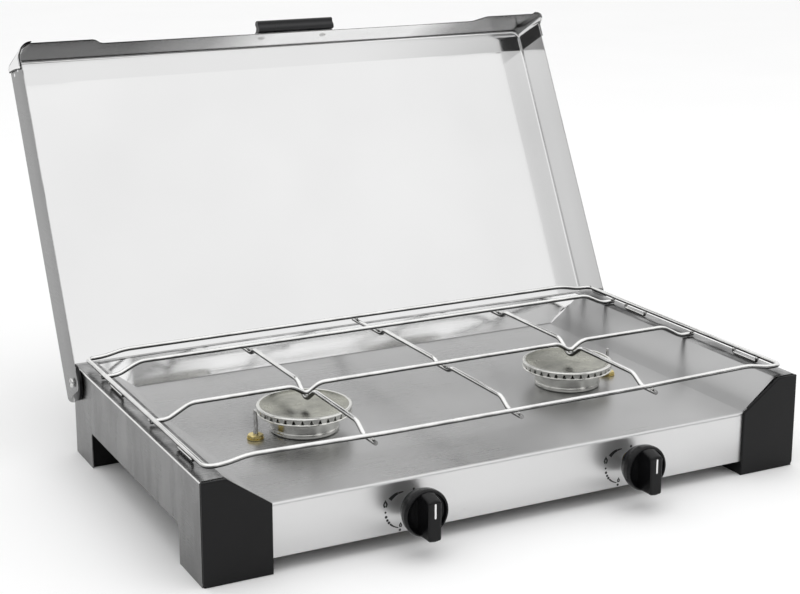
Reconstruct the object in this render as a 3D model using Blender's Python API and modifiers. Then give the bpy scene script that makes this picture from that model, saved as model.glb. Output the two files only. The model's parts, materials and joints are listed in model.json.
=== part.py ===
"""Two-burner camp stove: a folded steel base, a hinged lid, a wire grate, two burners and their gas train.

Every shape is placed from the middle of the base's footprint: X to the right, Y to the back, Z up, in
metres. At the end the whole stove slides along Y, so that the origin lies under the middle of its box.
The lid stands open, leaning back on its stop.
"""
import math

import bmesh
import bpy
from mathutils import Matrix, Vector

# ---- driving dimensions (metres) -----------------------------------------------------------------
WIDTH = 0.560                  # outside of the two side panels
DEPTH = 0.320                  # fascia to rear panel
RIM_Z = 0.084                  # top of the ledges
FLOOR_Z = 0.057                # top of the tray floor
FASCIA_Z = 0.0124              # lower edge of the fascia and of the rear panel
SHEET = 0.0010                 # sheet thickness
GAP = 0.0003                   # clearance kept between touching pieces
LEDGE_X = 0.2595               # inner edge of the side ledges
FLOOR_X = 0.225                # half width of the tray floor
FLOOR_REAR_Y = 0.152           # rear edge of the tray floor
LEDGE_REAR_Y = 0.155           # front edge of the rear ledge
CAP_X = 0.2225                 # inner edge of the front corner caps
LEG_LENGTH = 0.048             # length of a side panel's legs along Y
ARCH_Z = 0.033                 # height of the cut-out between the legs

HINGE_Y = 0.146                # lid axis
HINGE_Z = 0.071
HINGE_HOLE_R = 0.0028
LID_LEAN = math.radians(27.0)  # lean of the open lid behind the vertical
LID_LENGTH = 0.319             # hinge axis to the front bend of the lid
LID_TAIL = 0.014               # lid behind its axis
LID_OFFSET = 0.0305            # axis to the inside of the lid panel
LID_SKIRT = 0.044              # depth of the lid's side and front skirts
LID_EAR = 0.013                # extra depth of the front skirt at its ends
LID_LIP = 0.0065               # depth of the rear lip, the stop
LID_X = 0.2845                 # inside of the lid's side skirts
LID_CORNER = 0.010             # corner radius of the lid
LID_BEND = 0.0035              # bend radius at the edge of the lid panel
EAR_X = 0.212                  # inner end of the ears

WIRE = 0.0020                  # radius of the grate wire
GRATE_X = 0.271                # side wires
GRATE_FRONT_Y = -0.150
GRATE_BACK_Y = 0.147
GRATE_LOW_Z = 0.091            # wire centre along the sides
BAR_TOP_Z = 0.0965             # wire centre of the bars from front to back
FRONT_TOP_Z = 0.0950           # the front wire at its ends
FRONT_SAG_Z = 0.0928           # and in the middle, where it sags
SAG_X = 0.120
BACK_TOP_Z = 0.0952
GRATE_CORNER = 0.256           # where a wire starts to rise
GRATE_JOIN_X = 0.262            # where the lengths of the outer wire meet
GRATE_SHOULDER = 0.236         # where it reaches the top
FEET_Y = (("front", -0.104), ("rear", 0.064))
FEET_HALF = 0.016              # half length of a grate foot
FEET_WIRE = 0.0013
RAIL_REAR_Y = 0.103
RAIL_MID_Y = -0.026
RAIL_REAR_Z = 0.0962
RAIL_MID_Z = 0.0974
CROSSING_Z = 0.0905            # the middle rail over a burner
UNDER = 2 * WIRE + GAP         # a wire passing under another

BURNER_X = 0.1325
BURNER_Y = -0.022
CUP_R = 0.030
CROWN_R = 0.040
CAP_R = 0.041
SLOTS = 32

KNOB_X = 0.1035
KNOB_Z = 0.036
KNOB_R = 0.0195
KNOB_BACK_Y = -0.172           # back of the knob's skirt
KNOB_SKIRT = 0.0155            # depth of the round skirt
KNOB_DEPTH = 0.028             # back of the skirt to the face of the grip
GRIP_HALF = 0.0065             # half thickness of the grip
SPINDLE_R = 0.0040
SPINDLE_HOLE_R = 0.0062        # in the fascia and in the tap
TAP_REAR_Y = -0.126            # rear face of the tap bodies
TUBE_R = 0.0070                # mixing tubes
PIPE_R = 0.0040                # gas pipe
MANIFOLD_Z = 0.0215            # gas pipe under the taps
MANIFOLD_Y = -0.144

RIVET_X = 0.034                # the handle's rivets
HANDLE_LENGTH = 0.082
INLET_X = 0.200                # the hose nipple
INLET_Z = 0.027
INLET_HOLE_R = 0.0062

SIDES = (("left", -1), ("right", 1))

PARTS = "camp_stove"
CUTTERS = "cutters"


# ---- scene and materials -------------------------------------------------------------------------
def clear_scene():
    for item in list(bpy.data.objects):
        bpy.data.objects.remove(item, do_unlink=True)
    for name in (PARTS, CUTTERS):
        collection = bpy.data.collections.new(name)
        bpy.context.scene.collection.children.link(collection)


def make_material(name, colour, metallic, roughness):
    material = bpy.data.materials.new(name)
    material.use_nodes = True
    shader = material.node_tree.nodes["Principled BSDF"]
    shader.inputs["Base Color"].default_value = (*colour, 1.0)
    shader.inputs["Metallic"].default_value = metallic
    shader.inputs["Roughness"].default_value = roughness
    return material


def place(name, data, material, parent=None, location=(0, 0, 0), rotation=(0, 0, 0)):
    item = bpy.data.objects.new(name, data)
    bpy.data.collections[PARTS].objects.link(item)
    item.location = location
    item.rotation_euler = rotation
    item.parent = parent
    if material is not None:
        data.materials.append(material)
    return item


def make_empty(name, location, rotation=(0, 0, 0), parent=None):
    return place(name, None, None, parent, location, rotation)


def mesh_from(bm, name):
    bmesh.ops.recalc_face_normals(bm, faces=bm.faces)
    mesh = bpy.data.meshes.new(name)
    bm.to_mesh(mesh)
    bm.free()
    mesh.shade_smooth()
    mesh.set_sharp_from_angle(angle=math.radians(30))
    return mesh


# ---- shape helpers -------------------------------------------------------------------------------
def block(low, high, bevel=0.0):
    """A closed box between two corners, its edges rounded by bevel."""
    bm = bmesh.new()
    size = Vector(high) - Vector(low)
    centre = (Vector(high) + Vector(low)) / 2
    matrix = Matrix.Translation(centre) @ Matrix.Diagonal((*size, 1))
    bmesh.ops.create_cube(bm, size=1.0, matrix=matrix)
    if bevel:
        bmesh.ops.bevel(bm, geom=list(bm.edges), offset=bevel, segments=1, affect="EDGES", profile=0.5)
    return bm


def rod(start, end, radius, sides=16):
    """A closed cylinder between two points."""
    start = Vector(start)
    end = Vector(end)
    run = end - start
    matrix = Matrix.Translation((start + end) / 2) @ run.to_track_quat("Z", "Y").to_matrix().to_4x4()
    bm = bmesh.new()
    bmesh.ops.create_cone(bm, cap_ends=True, segments=sides, radius1=radius, radius2=radius,
                          depth=run.length, matrix=matrix)
    return bm


def joined(*pieces):
    """One bmesh that holds several."""
    whole = bmesh.new()
    for piece in pieces:
        mesh = bpy.data.meshes.new("piece")
        piece.to_mesh(mesh)
        piece.free()
        whole.from_mesh(mesh)
        bpy.data.meshes.remove(mesh)
    return whole


def cutter(name, bm, parent=None):
    item = bpy.data.objects.new(name, mesh_from(bm, name))
    bpy.data.collections[CUTTERS].objects.link(item)
    item.parent = parent
    item.hide_render = True
    item.display_type = "WIRE"
    return item


def boolean(item, other, operation="DIFFERENCE"):
    modifier = item.modifiers.new(operation.lower(), "BOOLEAN")
    modifier.operation = operation
    modifier.object = other


def solidify(item, thickness, offset):
    modifier = item.modifiers.new("sheet", "SOLIDIFY")
    modifier.thickness = thickness
    modifier.offset = offset
    modifier.use_even_offset = True


def turned(name, profile, material, steps=24, parent=None, location=(0, 0, 0), rotation=(0, 0, 0)):
    """A body turned about local Z from a closed (radius, height) profile, outer side first, top down."""
    mesh = bpy.data.meshes.new(name)
    points = [(radius, 0.0, height) for radius, height in profile]
    on_axis = profile[0][0] == 0.0
    count = len(points)
    edges = [(index, index + 1) for index in range(count - 1)]
    if not on_axis:
        edges.append((count - 1, 0))
    mesh.from_pydata(points, edges, [])
    item = place(name, mesh, material, parent, location, rotation)
    screw = item.modifiers.new("turn", "SCREW")
    screw.axis = "Z"
    screw.angle = math.tau
    screw.steps = steps
    screw.render_steps = steps
    screw.use_merge_vertices = True
    screw.merge_threshold = 0.00001
    screw.use_smooth_shade = True
    return item


def wire(name, points, radius, material):
    """A round wire along its points."""
    curve = bpy.data.curves.new(name, "CURVE")
    curve.dimensions = "3D"
    curve.bevel_depth = radius
    curve.bevel_resolution = 2
    curve.render_resolution_u = 0
    curve.use_fill_caps = True
    spline = curve.splines.new("POLY")
    spline.points.add(len(points) - 1)
    for point, place_at in zip(spline.points, points):
        point.co = (*place_at, 1.0)
    spline.use_smooth = True
    return place(name, curve, material)


def softened(points, radius, steps=2):
    """The same path with each inner corner replaced by a short arc that starts radius away from it."""
    path = [Vector(point) for point in points]
    result = [tuple(path[0])]
    for before, corner, after in zip(path, path[1:], path[2:]):
        back = before - corner
        ahead = after - corner
        reach = min(radius, back.length * 0.45, ahead.length * 0.45)
        start = corner + back.normalized() * reach
        end = corner + ahead.normalized() * reach
        for step in range(steps + 1):
            t = step / steps
            blend = start * (1 - t) ** 2 + corner * 2 * t * (1 - t) + end * t ** 2
            result.append(tuple(blend))
    result.append(tuple(path[-1]))
    return result


# ---- base ----------------------------------------------------------------------------------------
def tray_section(y, raised=False):
    """The tray's cross-section at y: ledge, slope, floor, slope, ledge."""
    outer = WIDTH / 2 - SHEET - GAP
    floor = RIM_Z if raised else FLOOR_Z
    section = ((-outer, RIM_Z), (-LEDGE_X, RIM_Z), (-FLOOR_X, floor), (FLOOR_X, floor),
               (LEDGE_X, RIM_Z), (outer, RIM_Z))
    return [(x, y, z) for x, z in section]


def make_hob_top(steel):
    """One folded sheet: tray floor, side slopes, ledges, rear wall and the front fascia."""
    front = -DEPTH / 2
    bend = 0.003
    rows = [tray_section(front + bend), tray_section(FLOOR_REAR_Y),
            tray_section(LEDGE_REAR_Y, raised=True), tray_section(DEPTH / 2 - SHEET - GAP, raised=True)]
    bm = bmesh.new()
    grid = [[bm.verts.new(point) for point in row] for row in rows]
    for near, far in zip(grid, grid[1:]):
        for column in range(len(near) - 1):
            bm.faces.new((near[column], near[column + 1], far[column + 1], far[column]))
    pair = [grid[0][2], grid[0][3]]
    for step in range(1, 5):
        angle = step / 4 * math.pi / 2
        y = front + bend * (1 - math.sin(angle))
        z = FLOOR_Z - bend * (1 - math.cos(angle))
        pair = fold_on(bm, pair, y, z)
    pair = fold_on(bm, pair, front, FASCIA_Z)
    fold_on(bm, pair, front + 0.008, FASCIA_Z)
    item = place("hob_top", mesh_from(bm, "hob_top"), steel)
    solidify(item, SHEET, -1.0)
    holes = [rod((side * BURNER_X, BURNER_Y, 0.045), (side * BURNER_X, BURNER_Y, 0.070), 0.012)
             for _, side in SIDES]
    holes += [rod((side * KNOB_X, front - 0.01, KNOB_Z), (side * KNOB_X, front + 0.01, KNOB_Z),
                  SPINDLE_HOLE_R)
              for _, side in SIDES]
    holes += [rod((*probe_place(side), 0.045), (*probe_place(side), 0.070), 0.0024, 12) for _, side in SIDES]
    boolean(item, cutter("hob_top_holes", joined(*holes)))
    return item


def fold_on(bm, pair, y, z):
    """Carries the sheet on from an edge to the same edge at y and z."""
    following = [bm.verts.new((vertex.co.x, y, z)) for vertex in pair]
    bm.faces.new((pair[0], pair[1], following[1], following[0]))
    return following


def make_side_panel(name, side, steel):
    """A flat side with an arch cut out between its legs, drilled for the lid's hinge."""
    half = DEPTH / 2
    leg = half - LEG_LENGTH
    outline = [(-half, 0.0), (-leg, 0.0), (-leg, ARCH_Z), (leg, ARCH_Z), (leg, 0.0), (half, 0.0),
               (half, RIM_Z), (-half, RIM_Z)]
    bm = bmesh.new()
    x = side * WIDTH / 2
    bm.faces.new([bm.verts.new((x, y, z)) for y, z in outline])
    if side > 0:
        bmesh.ops.reverse_faces(bm, faces=bm.faces)
    mesh = bpy.data.meshes.new(name)
    bm.normal_update()
    facing = bm.faces[:][0].normal.x * side
    bm.to_mesh(mesh)
    bm.free()
    item = place(name, mesh, steel)
    solidify(item, SHEET, -1.0 if facing > 0 else 1.0)
    hole = rod((x - 0.01, HINGE_Y, HINGE_Z), (x + 0.01, HINGE_Y, HINGE_Z), HINGE_HOLE_R, 16)
    boolean(item, cutter(name + "_hole", hole))
    return item


def make_rear_panel(steel):
    """The rear sheet with a hole for the gas inlet."""
    half = DEPTH / 2
    x = WIDTH / 2 - SHEET - GAP
    bm = block((-x, half - SHEET, FASCIA_Z), (x, half, RIM_Z))
    item = place("rear_panel", mesh_from(bm, "rear_panel"), steel)
    hole = rod((INLET_X, half - 0.01, INLET_Z), (INLET_X, half + 0.01, INLET_Z), INLET_HOLE_R)
    boolean(item, cutter("rear_panel_hole", hole))
    return item


def make_corner_cap(name, side, plastic):
    """A black cap over a front corner, with the foot that it stands on."""
    front = -DEPTH / 2
    outer = WIDTH / 2 - 0.0004
    outline = [(outer, 0.0), (outer, RIM_Z), (LEDGE_X, RIM_Z), (CAP_X, FLOOR_Z + 0.0005), (CAP_X, 0.0)]
    thick = 0.0022
    bm = bmesh.new()
    bm.faces.new([bm.verts.new((side * x, front - GAP, z)) for x, z in outline])
    extruded = bmesh.ops.extrude_face_region(bm, geom=list(bm.faces))
    moved = [part for part in extruded["geom"] if isinstance(part, bmesh.types.BMVert)]
    bmesh.ops.translate(bm, verts=moved, vec=(0, -thick, 0))
    bmesh.ops.recalc_face_normals(bm, faces=bm.faces)
    upright = [edge for edge in bm.edges
               if all(abs(vertex.co.y - (front - GAP - thick)) < 1e-6 for vertex in edge.verts)]
    bmesh.ops.bevel(bm, geom=upright, offset=0.0012, segments=2, affect="EDGES", profile=0.5)
    item = place(name, mesh_from(bm, name), plastic)
    inner = WIDTH / 2 - SHEET - GAP
    low = sorted((side * (CAP_X + 0.0005), side * inner))
    foot = block((low[0], front - 0.0015, 0.0), (low[1], front + 0.045, FASCIA_Z - GAP))
    boolean(item, cutter(name + "_foot", foot), "UNION")
    high = sorted((side * (FLOOR_X + 0.004), side * inner))
    post = block((high[0], front + SHEET + GAP, 0.004), (high[1], front + 0.045, ARCH_Z))
    boolean(item, cutter(name + "_post", post), "UNION")
    return item


def make_rear_foot(name, side, plastic):
    """A black block inside a rear corner."""
    inner = WIDTH / 2 - SHEET - GAP
    rear = DEPTH / 2 - SHEET - GAP
    x = sorted((side * (inner - 0.050), side * inner))
    bm = block((x[0], rear - 0.045, 0.0), (x[1], rear, ARCH_Z))
    corner = [edge for edge in bm.edges
              if all(abs(vertex.co.x - side * (inner - 0.050)) < 1e-6 for vertex in edge.verts)
              and abs(edge.verts[0].co.z - edge.verts[1].co.z) > 0.01
              and edge.verts[0].co.y < rear - 0.01]
    bmesh.ops.bevel(bm, geom=corner, offset=0.018, segments=6, affect="EDGES", profile=0.5)
    return place(name, mesh_from(bm, name), plastic)


# ---- lid -----------------------------------------------------------------------------------------
def lid_outline():
    """Points round the lid as (x, u, outward direction, skirt depth); u runs from the axis to the front."""
    side_u = (LID_LENGTH - LID_CORNER, LID_LENGTH * 0.5, 0.012, 0.0, -0.005, -0.009)
    deep = LID_SKIRT
    points = []
    for x in (-EAR_X, EAR_X):
        ear = deep + LID_EAR
        order = ((x, ear), (x + 0.006, deep)) if x < 0 else ((x - 0.006, deep), (x, ear))
        points += [(at, LID_LENGTH, (0, 1), depth) for at, depth in order]
    points += lid_corner(LID_X, LID_LENGTH, LID_CORNER, 90, 0, lambda t: deep + LID_EAR * (1 - t ** 3))
    for u in side_u[1:]:
        reach = deep if u >= 0 else LID_OFFSET + math.sqrt(LID_TAIL ** 2 - u ** 2) - 0.0005
        points.append((LID_X, u, (1, 0), reach))
    points += lid_corner(LID_X, -LID_TAIL, 0.005, 0, -90, lambda t: LID_LIP + 0.012 * (1 - t))[1:]
    points += [(-x, u, (-nx, nu), depth) for x, u, (nx, nu), depth in reversed(points[4:])]
    return points


def lid_corner(x, u, radius, start, stop, depth, steps=5):
    """A rounded corner of the outline, from one outward angle in degrees to another."""
    centre_x = x - radius
    centre_u = u - math.copysign(radius, u)
    points = []
    for step in range(steps + 1):
        t = step / steps
        angle = math.radians(start + (stop - start) * t)
        out = (math.cos(angle), math.sin(angle))
        points.append((centre_x + radius * out[0], centre_u + radius * out[1], out, depth(t)))
    return points


def make_lid_pan(parent, steel):
    """The pressed lid: a flat panel, a small bend all round and skirts of varying depth."""
    outline = lid_outline()
    bm = bmesh.new()
    rings = []
    for step in range(4):
        angle = step / 3 * math.pi / 2
        inset = LID_BEND * (1 - math.sin(angle))
        drop = LID_BEND * (1 - math.cos(angle))
        rings.append([lid_vertex(bm, point, inset, drop) for point in outline])
    rings.append([lid_vertex(bm, point, 0.0, point[3]) for point in outline])
    count = len(outline)
    for upper, lower in zip(rings, rings[1:]):
        for index in range(count):
            after = (index + 1) % count
            bm.faces.new((upper[index], upper[after], lower[after], lower[index]))
    bm.faces.new(rings[0])
    bmesh.ops.recalc_face_normals(bm, faces=bm.faces)
    panel = max(bm.faces, key=lambda face: face.calc_area())
    if panel.normal.y > 0:
        bmesh.ops.reverse_faces(bm, faces=bm.faces)
    mesh = bpy.data.meshes.new("lid_pan")
    bm.to_mesh(mesh)
    bm.free()
    item = place("lid_pan", mesh, steel, parent)
    solidify(item, SHEET, 1.0)
    holes = [rod((-LID_X - 0.01, 0, 0), (LID_X + 0.01, 0, 0), HINGE_HOLE_R, 16)]
    holes += [rod((x, rivet_v(), LID_LENGTH - 0.01), (x, rivet_v(), LID_LENGTH + 0.01), 0.0020, 12)
              for x in (-RIVET_X, RIVET_X)]
    boolean(item, cutter("lid_pan_holes", joined(*holes), parent))
    return item


def lid_vertex(bm, point, inset, drop):
    """A vertex of the lid in the hinge frame: X across, Y towards the inside face, Z towards the front."""
    x, u, out, _ = point
    return bm.verts.new((x - out[0] * inset, -(LID_OFFSET + SHEET) + drop, u - out[1] * inset))


def rivet_v():
    """How far the handle's rivets are from the axis, towards the free edge of the skirt."""
    return -LID_OFFSET + LID_SKIRT - 0.014


def make_lid_handle(parent, plastic):
    """An extruded grip: a foot riveted to the front skirt and a lip with a finger groove."""
    edge = -LID_OFFSET + LID_SKIRT
    base = LID_LENGTH + SHEET + GAP
    profile = [(edge - 0.024, base), (edge - 0.024, base + 0.0022), (edge - 0.008, base + 0.0026),
               (edge - 0.005, base + 0.0060), (edge - 0.0068, base + 0.0095), (edge - 0.0050, base + 0.0120),
               (edge - 0.0010, base + 0.0122), (edge + 0.0020, base + 0.0100), (edge + 0.0008, base + 0.0070),
               (edge + 0.0022, base + 0.0035), (edge + 0.0010, base)]
    bm = bmesh.new()
    bm.faces.new([bm.verts.new((-HANDLE_LENGTH / 2, v, u)) for v, u in profile])
    extruded = bmesh.ops.extrude_face_region(bm, geom=list(bm.faces))
    moved = [part for part in extruded["geom"] if isinstance(part, bmesh.types.BMVert)]
    bmesh.ops.translate(bm, verts=moved, vec=(HANDLE_LENGTH, 0, 0))
    item = place("lid_handle", mesh_from(bm, "lid_handle"), plastic, parent)
    holes = [rod((x, rivet_v(), base - 0.004), (x, rivet_v(), base + 0.008), 0.0020, 12) for x in (-RIVET_X, RIVET_X)]
    boolean(item, cutter("lid_handle_holes", joined(*holes), parent))
    return item


def make_rivet(name, x, parent, steel):
    """A rivet through the skirt and the handle, its round head inside the lid."""
    inside = LID_LENGTH - GAP
    outside = LID_LENGTH + SHEET + GAP + 0.0024 + GAP
    shank = 0.0017
    head = 0.0033
    height = outside - inside
    profile = [(0.0, height + 0.0010), (0.0022, height + 0.0008), (0.0030, height), (shank, height),
               (shank, 0.0), (head, 0.0), (head * 0.85, -0.0010), (head * 0.5, -0.0016), (0.0, -0.0018)]
    return turned(name, profile, steel, 12, parent, (x, rivet_v(), inside))


# ---- hinges --------------------------------------------------------------------------------------
def make_hinge(name, side, steel, plastic):
    """A shoulder screw through the lid and the side panel, with a spacer between them and a nut inside."""
    panel = WIDTH / 2
    turn = (0, side * math.pi / 2, 0)
    at = (0, HINGE_Y, HINGE_Z)
    spacer = [(0.0165, LID_X - GAP), (0.0165, panel + GAP), (HINGE_HOLE_R, panel + GAP),
              (HINGE_HOLE_R, LID_X - GAP)]
    turned("hinge_spacer_" + name, spacer, plastic, 24, None, at, turn)
    head = LID_X + SHEET + GAP
    screw = [(0.0, head + 0.0026), (0.0030, head + 0.0022), (0.0042, head + 0.0008), (0.0044, head),
             (0.0024, head), (0.0024, panel - 0.0090), (0.0, panel - 0.0090)]
    turned("hinge_screw_" + name, screw, steel, 12, None, at, turn)
    nut = hexagon(0.0045, panel - 0.0060, panel - SHEET - GAP, 0.0027)
    nut.transform(Matrix.Translation(at) @ Matrix.Rotation(turn[1], 4, "Y"))
    place("hinge_nut_" + name, mesh_from(nut, "hinge_nut_" + name), steel)


def hexagon(radius, low, high, bore):
    """A hexagonal nut about Z, from low to high, with a round bore."""
    bm = bmesh.new()
    sides = 12
    rings = []
    for z in (low, high):
        outer = []
        inner = []
        for index in range(sides):
            angle = math.tau * index / sides
            wrapped = (angle + math.pi / 6) % (math.pi / 3) - math.pi / 6
            flat = radius / math.cos(wrapped)
            outer.append(bm.verts.new((flat * math.cos(angle), flat * math.sin(angle), z)))
            inner.append(bm.verts.new((bore * math.cos(angle), bore * math.sin(angle), z)))
        rings.append((outer, inner))
    (low_out, low_in), (high_out, high_in) = rings
    for index in range(sides):
        after = (index + 1) % sides
        bm.faces.new((low_out[index], low_out[after], high_out[after], high_out[index]))
        bm.faces.new((low_in[after], low_in[index], high_in[index], high_in[after]))
        bm.faces.new((high_out[index], high_out[after], high_in[after], high_in[index]))
        bm.faces.new((low_out[after], low_out[index], low_in[index], low_in[after]))
    return bm


# ---- grate ---------------------------------------------------------------------------------------
def make_grate_frame(steel):
    """The outer wire, in four lengths that meet at the corners: raised in front and behind, low at the sides."""
    ends = ((GRATE_FRONT_Y, FRONT_TOP_Z, FRONT_SAG_Z), (GRATE_BACK_Y, BACK_TOP_Z, BACK_TOP_Z))
    for name, (y, top, middle) in zip(("front", "back"), ends):
        right = [(GRATE_SHOULDER, top), (GRATE_CORNER, GRATE_LOW_Z), (GRATE_JOIN_X - GAP / 2, GRATE_LOW_Z)]
        if middle != top:
            right.insert(0, (SAG_X, middle))
        path = [(-x, y, z) for x, z in reversed(right)] + [(x, y, z) for x, z in right]
        wire("grate_frame_" + name, softened(path, 0.007), WIRE, steel)
    for name, side in (("left", -1), ("right", 1)):
        inner, outer = side * (GRATE_JOIN_X + GAP / 2), side * GRATE_X
        path = [(inner, GRATE_FRONT_Y, GRATE_LOW_Z), (outer, GRATE_FRONT_Y, GRATE_LOW_Z),
                (outer, GRATE_BACK_Y, GRATE_LOW_Z), (inner, GRATE_BACK_Y, GRATE_LOW_Z)]
        wire("grate_frame_" + name, softened(path, 0.007), WIRE, steel)


def make_grate_rail(name, y, top, steel, dips):
    """A wire across the grate and under its side wires, dipped over the burners where dips is true."""
    low = GRATE_LOW_Z - UNDER
    right = []
    if dips:
        right = [(BURNER_X - 0.013, top), (BURNER_X - 0.002, CROSSING_Z),
                 (BURNER_X + 0.002, CROSSING_Z), (BURNER_X + 0.013, top)]
    right += [(GRATE_SHOULDER, top), (GRATE_CORNER, low), (GRATE_X, low)]
    path = [(-x, y, z) for x, z in reversed(right)] + [(x, y, z) for x, z in right]
    return wire(name, softened(path, 0.005), WIRE, steel)


def bar_front(x):
    """The front end of a bar, bent down and under the front wire."""
    low = FRONT_SAG_Z - UNDER
    return [(x, GRATE_FRONT_Y + 0.027, BAR_TOP_Z), (x, GRATE_FRONT_Y + 0.014, low), (x, GRATE_FRONT_Y - 0.0065, low)]


def make_burner_bar(name, x, steel):
    """A wire from the rear rail over a burner and under the front wire."""
    rear = RAIL_REAR_Z - UNDER
    cross = CROSSING_Z - UNDER
    path = [(x, RAIL_REAR_Y + 0.009, rear), (x, RAIL_REAR_Y - 0.010, rear),
            (x, RAIL_REAR_Y - 0.016, BAR_TOP_Z), (x, RAIL_MID_Y + 0.018, BAR_TOP_Z),
            (x, RAIL_MID_Y + 0.003, cross), (x, RAIL_MID_Y - 0.003, cross),
            (x, RAIL_MID_Y - 0.018, BAR_TOP_Z)] + bar_front(x)
    return wire(name, softened(path, 0.004), WIRE, steel)


def make_centre_bar(steel):
    """The middle wire, from the back wire to the front one, under both rails."""
    back, rear, middle = BACK_TOP_Z - UNDER, RAIL_REAR_Z - UNDER, RAIL_MID_Z - UNDER
    path = [(0, GRATE_BACK_Y + 0.006, back), (0, GRATE_BACK_Y - 0.010, back), (0, RAIL_REAR_Y + 0.010, rear),
            (0, RAIL_REAR_Y - 0.010, rear), (0, RAIL_REAR_Y - 0.016, BAR_TOP_Z), (0, RAIL_MID_Y + 0.016, BAR_TOP_Z),
            (0, RAIL_MID_Y + 0.010, middle), (0, RAIL_MID_Y - 0.010, middle),
            (0, RAIL_MID_Y - 0.016, BAR_TOP_Z)] + bar_front(0)
    return wire("grate_centre_bar", softened(path, 0.004), WIRE, steel)


def make_grate_foot(name, side, y, steel):
    """A U of thinner wire under a side wire, which stands on the ledge."""
    x = side * (GRATE_X - 0.0015)
    top = GRATE_LOW_Z - WIRE - GAP
    low = RIM_Z + FEET_WIRE + GAP
    path = [(x, y - FEET_HALF, top), (x, y - FEET_HALF, low), (x, y + FEET_HALF, low), (x, y + FEET_HALF, top)]
    return wire(name, softened(path, 0.0022), FEET_WIRE, steel)


# ---- burners and gas train -----------------------------------------------------------------------
def probe_place(side):
    """Where a burner's flame probe stands, just outside the rim of the cap."""
    return (side * (BURNER_X + 0.047), BURNER_Y + (0.004 if side > 0 else -0.004))


def make_burner(name, side, steel, brass):
    """The cup, the slotted crown that stands on it, and the cap; beside them, the flame probe."""
    at = (side * BURNER_X, BURNER_Y, 0.0)
    foot = FLOOR_Z + GAP
    rim = 0.0722
    cup = [(CUP_R, rim), (CUP_R, foot + 0.002), (CUP_R - 0.001, foot), (0.009, foot), (0.009, foot + 0.0015),
           (CUP_R - 0.0025, foot + 0.0015), (CUP_R - 0.0015, rim)]
    turned("burner_cup_" + name, cup, steel, 32, None, at)
    low = rim + GAP
    high = 0.0778
    crown = [(CROWN_R, high), (CROWN_R, low + 0.0018), (CROWN_R - 0.003, low), (CUP_R - 0.004, low),
             (CUP_R - 0.004, low + 0.0015), (CROWN_R - 0.003, low + 0.0020), (CROWN_R - 0.003, high)]
    item = turned("burner_crown_" + name, crown, steel, SLOTS, None, at)
    slots = []
    for index in range(SLOTS):
        angle = math.tau * (index + 0.5) / SLOTS
        slot = block((CROWN_R - 0.005, -0.0009, high - 0.0024), (CROWN_R + 0.002, 0.0009, high + 0.001))
        slot.transform(Matrix.Translation(at) @ Matrix.Rotation(angle, 4, "Z"))
        slots.append(slot)
    boolean(item, cutter("crown_slots_" + name, joined(*slots)))
    base = high + GAP
    cap = [(0.0, base + 0.0006), (0.034, base + 0.0006), (CAP_R - 0.0012, base + 0.0014),
           (CAP_R, base + 0.0008), (CAP_R, base), (0.0, base)]
    turned("burner_cap_" + name, cap, steel, 40, None, at)
    x, y = probe_place(side)
    probe = [(0.0, 0.0830), (0.0014, 0.0820), (0.0014, 0.0470), (0.0, 0.0470)]
    turned("flame_probe_" + name, probe, steel, 12, None, (x, y, 0.0))
    nut = hexagon(0.0052, FLOOR_Z + GAP, FLOOR_Z + 0.0040, 0.0017)
    nut.transform(Matrix.Translation((x, y, 0)))
    place("probe_nut_" + name, mesh_from(nut, "probe_nut_" + name), brass)


def make_mixing_tube(name, side, steel):
    """The tube that carries gas and air from the jet to the burner."""
    start = (side * KNOB_X, -0.116, KNOB_Z)
    end = (side * BURNER_X, BURNER_Y, FLOOR_Z)
    path = [start, (side * (KNOB_X + 0.004), -0.095, KNOB_Z), (side * (BURNER_X - 0.003), -0.055, KNOB_Z + 0.003),
            (side * BURNER_X, BURNER_Y, KNOB_Z + 0.004), end]
    return wire("mixing_tube_" + name, softened(path, 0.020, 3), TUBE_R, steel)


def make_valve(name, side, brass):
    """The tap body behind the fascia, with its plunger and the jet that points to the burner."""
    x = side * KNOB_X
    front = -DEPTH / 2 + SHEET + GAP
    body = block((x - 0.011, front + 0.002, KNOB_Z - 0.009), (x + 0.011, TAP_REAR_Y, KNOB_Z + 0.010), 0.0015)
    item = place("valve_body_" + name, mesh_from(body, "valve_body_" + name), brass)
    bore = rod((x, front - 0.004, KNOB_Z), (x, TAP_REAR_Y - 0.010, KNOB_Z), SPINDLE_HOLE_R)
    boolean(item, cutter("valve_bore_" + name, bore))
    jet = [(0.0, 0.0), (0.0015, 0.0), (0.0042, -0.0028), (0.0042, -0.0070), (0.0, -0.0070)]
    turned("jet_" + name, jet, brass, 16, None, (x, TAP_REAR_Y + 0.0070 + GAP, KNOB_Z), (-math.pi / 2, 0, 0))


def make_control(name, side, plastic, steel):
    """What moves on a tap: a plunger that slides, and the knob and spindle that turn on it."""
    x = side * KNOB_X
    push = make_empty("push_" + name, (x, KNOB_BACK_Y, KNOB_Z))
    plunger = [(0.0055, 0.0), (0.0055, -0.006), (SPINDLE_R + GAP, -0.006), (SPINDLE_R + GAP, 0.0)]
    axis = (-math.pi / 2, 0, 0)
    turned("valve_plunger_" + name, plunger, steel, 16, push, (0, 0.0240, 0), axis)
    turn = make_empty("turn_" + name, (0, 0, 0), parent=push)
    spindle = [(0.0, 0.0315), (SPINDLE_R, 0.0310), (SPINDLE_R, -0.012), (0.0, -0.012)]
    turned("spindle_" + name, spindle, steel, 16, turn, (0, 0, 0), axis)
    make_knob("knob_" + name, turn, plastic)


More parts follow.
